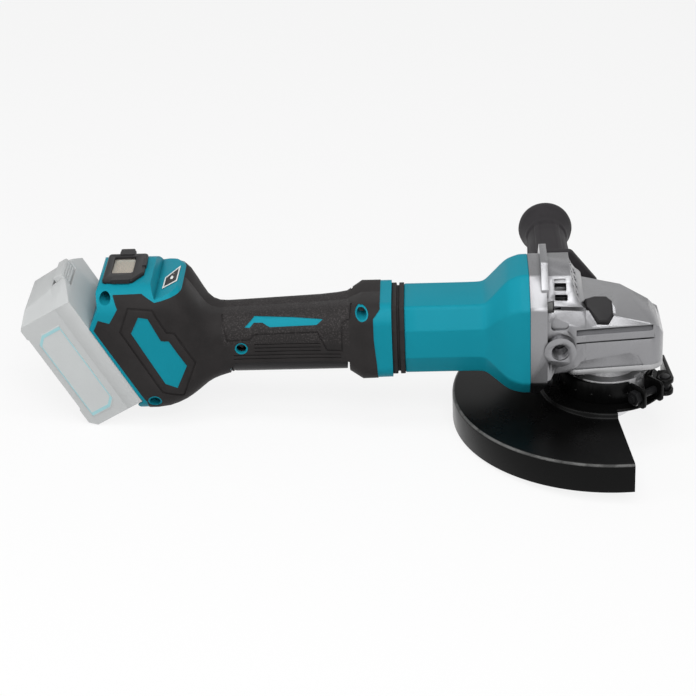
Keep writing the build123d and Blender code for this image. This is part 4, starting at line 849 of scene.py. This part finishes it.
def grow(name, build, finish, **sizes):
    """A piece made by a node tree; its sizes are named inputs, and build gives the geometry."""
    tree = bpy.data.node_groups.new(name, "GeometryNodeTree")
    values = {}
    for label, value in sizes.items():
        kind = "NodeSocketInt" if isinstance(value, int) else "NodeSocketFloat"
        socket = tree.interface.new_socket(label, in_out="INPUT", socket_type=kind)
        socket.default_value = value
        values[socket.identifier] = value
    tree.interface.new_socket("Geometry", in_out="OUTPUT", socket_type="NodeSocketGeometry")
    entry = tree.nodes.new("NodeGroupInput")
    real = put(tree, "GeometryNodeRealizeInstances", Geometry=build(tree, entry.outputs))
    smooth = put(tree, "GeometryNodeSetShadeSmooth", Geometry=real.outputs["Geometry"])
    dressed = put(tree, "GeometryNodeSetMaterial", Geometry=smooth.outputs["Geometry"], Material=finish)
    leave = tree.nodes.new("NodeGroupOutput")
    tree.links.new(dressed.outputs["Geometry"], leave.inputs["Geometry"])
    piece = new_piece(name, bpy.data.meshes.new(name), finish)
    grown = piece.modifiers.new("grown", "NODES")
    grown.node_group = tree
    for identifier, value in values.items():
        grown[identifier] = value
    bpy.context.view_layer.update()
    return settle(piece)


def along(tree, axis, value):
    """A vector of a length along one axis."""
    return put(tree, "ShaderNodeCombineXYZ", **{axis: value}).outputs["Vector"]


def tube(tree, curve, radius, sides, caps=False):
    """A round wire drawn along a curve."""
    round_wire = put(tree, "GeometryNodeCurvePrimitiveCircle", Resolution=sides, Radius=radius)
    drawn = put(tree, "GeometryNodeCurveToMesh", Curve=curve, Profile_Curve=round_wire.outputs["Curve"])
    drawn.inputs["Fill Caps"].default_value = caps
    return drawn.outputs["Mesh"]


def row(tree, thing, axis, count, start, step, turn=0.0):
    """Copies of a thing in a row along an axis."""
    points = put(tree, "GeometryNodeMeshLine", {"mode": "OFFSET"}, Count=count,
                 Start_Location=along(tree, axis, start), Offset=along(tree, axis, step))
    copies = put(tree, "GeometryNodeInstanceOnPoints", Points=points.outputs["Mesh"], Instance=thing)
    copies.inputs["Rotation"].default_value = (0.0, 0.0, turn)
    return copies.outputs["Instances"]


def gather(tree, *parts):
    """Joins the parts in the order given."""
    joined = tree.nodes.new("GeometryNodeJoinGeometry")
    for part in reversed(parts):
        tree.links.new(part, joined.inputs["Geometry"])
    return joined.outputs["Geometry"]


def woven_wires(tree, size):
    """Plain weave: every second wire of each row waves the other way."""
    pitch = size["Pitch"]

    def wire(length, samples, phase):
        half = sums(tree, "MULTIPLY", length, 0.5)
        line = put(tree, "GeometryNodeCurvePrimitiveLine",
                   Start=along(tree, "X", sums(tree, "MULTIPLY", half, -1.0)), End=along(tree, "X", half))
        fine = put(tree, "GeometryNodeResampleCurve", Curve=line.outputs["Curve"], Count=samples)
        here = put(tree, "GeometryNodeInputPosition").outputs["Position"]
        where = put(tree, "ShaderNodeSeparateXYZ", Vector=here).outputs["X"]
        turn = sums(tree, "MULTIPLY", sums(tree, "DIVIDE", where, pitch), math.pi)
        wave = sums(tree, "SINE", sums(tree, "ADD", turn, phase), 0.0)
        rise = along(tree, "Z", sums(tree, "MULTIPLY", wave, size["Wire"]))
        waved = put(tree, "GeometryNodeSetPosition", Geometry=fine.outputs["Curve"], Offset=rise)
        return tube(tree, waved.outputs["Geometry"], size["Wire"], 6)

    def wires(axis, width, length, samples, phase, turn):
        double = sums(tree, "MULTIPLY", pitch, 2.0)
        start = sums(tree, "ADD", sums(tree, "MULTIPLY", width, -0.5), sums(tree, "MULTIPLY", pitch, 0.5))
        next_start = sums(tree, "ADD", start, pitch)
        count = sums(tree, "DIVIDE", width, double)
        first = row(tree, wire(length, samples, phase), axis, count, start, double, turn)
        second = row(tree, wire(length, samples, phase + math.pi), axis, count, next_start, double, turn)
        return gather(tree, first, second)

    warp = wires("Y", size["Long"], size["Wide"], 73, 0.5 * math.pi, 0.0)
    weft = wires("X", size["Wide"], size["Long"], 121, 0.0, 0.5 * math.pi)
    return gather(tree, warp, weft)


def thread_ridge(tree, size):
    """Helix of a tapped thread."""
    helix = put(tree, "GeometryNodeCurveSpiral", Resolution=36, Rotations=size["Turns"],
                Start_Radius=size["Radius"], End_Radius=size["Radius"], Height=size["Depth"])
    return tube(tree, helix.outputs["Curve"], size["Ridge"], 4)


def ring_of_dimples(tree, size):
    """Small domes round a circle."""
    circle = put(tree, "GeometryNodeMeshCircle", Vertices=size["Count"], Radius=size["Ring"])
    dimple = put(tree, "GeometryNodeMeshIcoSphere", Radius=size["Dimple"], Subdivisions=3)
    return put(tree, "GeometryNodeInstanceOnPoints", Points=circle.outputs["Mesh"],
               Instance=dimple.outputs["Mesh"]).outputs["Instances"]


def row_of_ribs(tree, size):
    """Half-round ribs side by side."""
    half = sums(tree, "MULTIPLY", size["Length"], 0.5)
    line = put(tree, "GeometryNodeCurvePrimitiveLine",
               Start=along(tree, "X", sums(tree, "MULTIPLY", half, -1.0)), End=along(tree, "X", half))
    rib = tube(tree, line.outputs["Curve"], size["Rib"], 12, True)
    return row(tree, rib, "Y", size["Count"], 0.0, size["Step"])


# Middle of the filter, mouth of the free handle socket, and height of the dimples on the guard's band
WEAVE_MIDDLE = (-384.5, 4, 125)
SOCKET_MOUTH = (HANDLE_X, -46.4, HANDLE_Z)
DIMPLES_Z = 21
# First rib on the pack's lower end and on its back
END_RIB = PACK_ORIGIN + PACK_DOWN * 38.3 + PACK_OUT * 39
BACK_RIB = PACK_ORIGIN + PACK_DOWN * -47.6 + PACK_OUT * PACK_BACK


def add_repeats():
    weave = grow("dust_cover_weave", woven_wires, filter_metal,
                 Pitch=1.0 * MM, Wire=0.2 * MM, Wide=18.0 * MM, Long=30.0 * MM)
    weave.data.transform(seat(WEAVE_MIDDLE, (1, 0, 0), (0, 0, 1)))
    mount(weave, "dust_cover", "filter_mesh", "dust_cover_mesh")
    thread = grow("socket_thread", thread_ridge, head_casting,
                  Turns=9.0, Radius=6.85 * MM, Depth=18.0 * MM, Ridge=0.6 * MM)
    thread.data.transform(seat(SOCKET_MOUTH, (1, 0, 0), (0, 1, 0)))
    mount(thread, "body", "cast_aluminium")
    dimples = grow("band_dimples", ring_of_dimples, guard_coat, Count=16, Ring=37.2 * MM, Dimple=1.3 * MM)
    dimples.data.transform(seat((0, 0, DIMPLES_Z), (1, 0, 0), (0, 0, 1)))
    mount(dimples, "guard", "black_steel")
    ribs = grow("pack_grip_ribs", row_of_ribs, pack_moulding,
                Length=46.0 * MM, Rib=1.1 * MM, Count=6, Step=4.0 * MM)
    ribs.data.transform(seat(END_RIB, (0, 1, 0), PACK_DOWN))
    mount(ribs, "battery", "pale_plastic")
    back_ribs = grow("pack_back_ribs", row_of_ribs, pack_moulding,
                     Length=75.0 * MM, Rib=1.0 * MM, Count=9, Step=7.6 * MM)
    back_ribs.data.transform(seat(BACK_RIB, (0, 1, 0), PACK_OUT))
    mount(back_ribs, "battery", "pale_plastic")


add_repeats()


# Studio: floor, lights, backdrop and camera, in metres

WHITE = (1.0, 1.0, 1.0, 1.0)
FLOOR_WHITE = (0.8, 0.8, 0.8, 1.0)
FLOOR_BOUNCE = (0.4, 0.4, 0.4, 1.0)
FLOOR_GLEAM = 1.5
FLOOR_HALF = 12.0
FLOOR_GAP = 0.2 * MM
SHOWN_WHITE = 0.85
AMBIENT = 0.24
LIGHT_AIM = (-0.2, 0.0, 0.05)
# Place, width, height and power of each soft box
SOFT_BOXES = {
    "key_box": ((0.0, -1.05, 1.25), 0.9, 0.6, 10.0),
    "top_box": ((-0.15, -0.3, 1.55), 1.2, 0.5, 8.5),
    "front_box": ((0.0, -1.45, 0.6), 1.2, 0.5, 7.0),
    "left_box": ((-1.3, -0.7, 0.8), 0.6, 0.9, 5.0),
}
CAMERA_TARGET = Vector((-0.2082, -0.0083, 0.0540))
CAMERA_DISTANCE = 1.75
CAMERA_AZIMUTH = math.radians(2.82)
CAMERA_ELEVATION = math.radians(27.76)
CAMERA_ROLL = math.radians(-2.6)
CAMERA_LENS, CAMERA_SENSOR = 112.44, 36.0


def backdrop_shows(tree):
    """1 for what the eye, a gloss or a clear part sees of the backdrop, 0 for the light that it sheds."""
    path = tree.nodes.new("ShaderNodeLightPath")
    seen = sums(tree, "MAXIMUM", path.outputs["Is Camera Ray"], path.outputs["Is Glossy Ray"])
    return sums(tree, "MAXIMUM", seen, path.outputs["Is Transmission Ray"])


def pale_floor_finish():
    """Matt floor that keeps a soft shadow, stays white to the eye and gleams in bright metal."""
    finish, tree, shader = start_finish("pale_floor")
    fill(tree, shader.inputs["Base Color"], tint(tree, backdrop_shows(tree), FLOOR_BOUNCE, FLOOR_WHITE))
    shader.inputs["Roughness"].default_value = 0.9
    shader.inputs["Specular IOR Level"].default_value = 0.1
    mirrored = tree.nodes.new("ShaderNodeLightPath").outputs["Is Glossy Ray"]
    strength = spread(tree, mirrored, 1.0, FLOOR_GLEAM)
    glow = put(tree, "ShaderNodeEmission", Color=WHITE, Strength=strength)
    share = sums(tree, "MULTIPLY", backdrop_shows(tree), SHOWN_WHITE)
    mix = put(tree, "ShaderNodeMixShader")
    fill(tree, mix.inputs[0], share)
    fill(tree, mix.inputs[1], shader.outputs["BSDF"])
    fill(tree, mix.inputs[2], glow.outputs["Emission"])
    fill(tree, tree.nodes["Material Output"].inputs["Surface"], mix.outputs["Shader"])
    return finish


def lay_floor():
    """The tool rests on the guard's back rim and the low corner of the pack."""
    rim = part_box("guard_skirt")[0]
    corner = min((v.co for v in nodes["battery_case"].data.vertices), key=lambda co: co.z)
    tilt = math.atan2(corner.z - rim.z, rim.x - corner.x)
    mesh = bpy.data.meshes.new("floor")
    signs = ((-1, -1), (1, -1), (1, 1), (-1, 1))
    corners = [(x * FLOOR_HALF, y * FLOOR_HALF, 0) for x, y in signs]
    mesh.from_pydata(corners, [], [(0, 1, 2, 3)])
    under_rim = Matrix.Translation((rim.x, 0, rim.z - FLOOR_GAP))
    mesh.transform(under_rim @ Matrix.Rotation(tilt, 4, "Y"))
    floor = new_piece("floor", mesh, pale_floor_finish())


def hang_lights():
    for name, (place_at, width, height, power) in SOFT_BOXES.items():
        lamp = bpy.data.lights.new(name, "AREA")
        lamp.shape = "RECTANGLE"
        lamp.size = width
        lamp.size_y = height
        lamp.energy = power
        holder = bpy.data.objects.new(name, lamp)
        studio.collection.objects.link(holder)
        holder.location = place_at
        holder.rotation_mode = "QUATERNION"
        holder.rotation_quaternion = (Vector(LIGHT_AIM) - Vector(place_at)).to_track_quat("-Z", "Y")


def paint_backdrop():
    """White to the eye, with a fainter light all round the tool."""
    world = bpy.data.worlds.new("backdrop")
    world.use_nodes = True
    tree = world.node_tree
    tree.nodes.clear()
    level = spread(tree, backdrop_shows(tree), AMBIENT, 1.0)
    glow = put(tree, "ShaderNodeBackground", Color=WHITE, Strength=level)
    output = tree.nodes.new("ShaderNodeOutputWorld")
    tree.links.new(glow.outputs["Background"], output.inputs["Surface"])
    studio.world = world


def set_camera():
    """The photograph's view: a long lens a little above the tool, rolled slightly."""
    flat = math.cos(CAMERA_ELEVATION)
    sideways, forward = math.sin(CAMERA_AZIMUTH) * flat, math.cos(CAMERA_AZIMUTH) * flat
    back = Vector((sideways, -forward, math.sin(CAMERA_ELEVATION)))
    lens = bpy.data.cameras.new("photo_lens")
    lens.sensor_width = CAMERA_SENSOR
    lens.lens = CAMERA_LENS
    lens.clip_start, lens.clip_end = 0.05, 50.0
    camera = bpy.data.objects.new("photo_camera", lens)
    studio.collection.objects.link(camera)
    camera.location = CAMERA_TARGET + back * CAMERA_DISTANCE
    camera.rotation_mode = "QUATERNION"
    camera.rotation_quaternion = (-back).to_track_quat("-Z", "Y") @ Quaternion((0, 0, 1), CAMERA_ROLL)
    studio.camera = camera


lay_floor()
hang_lights()
paint_backdrop()
set_camera()
studio.view_settings.view_transform = "Standard"

bpy.context.view_layer.update()
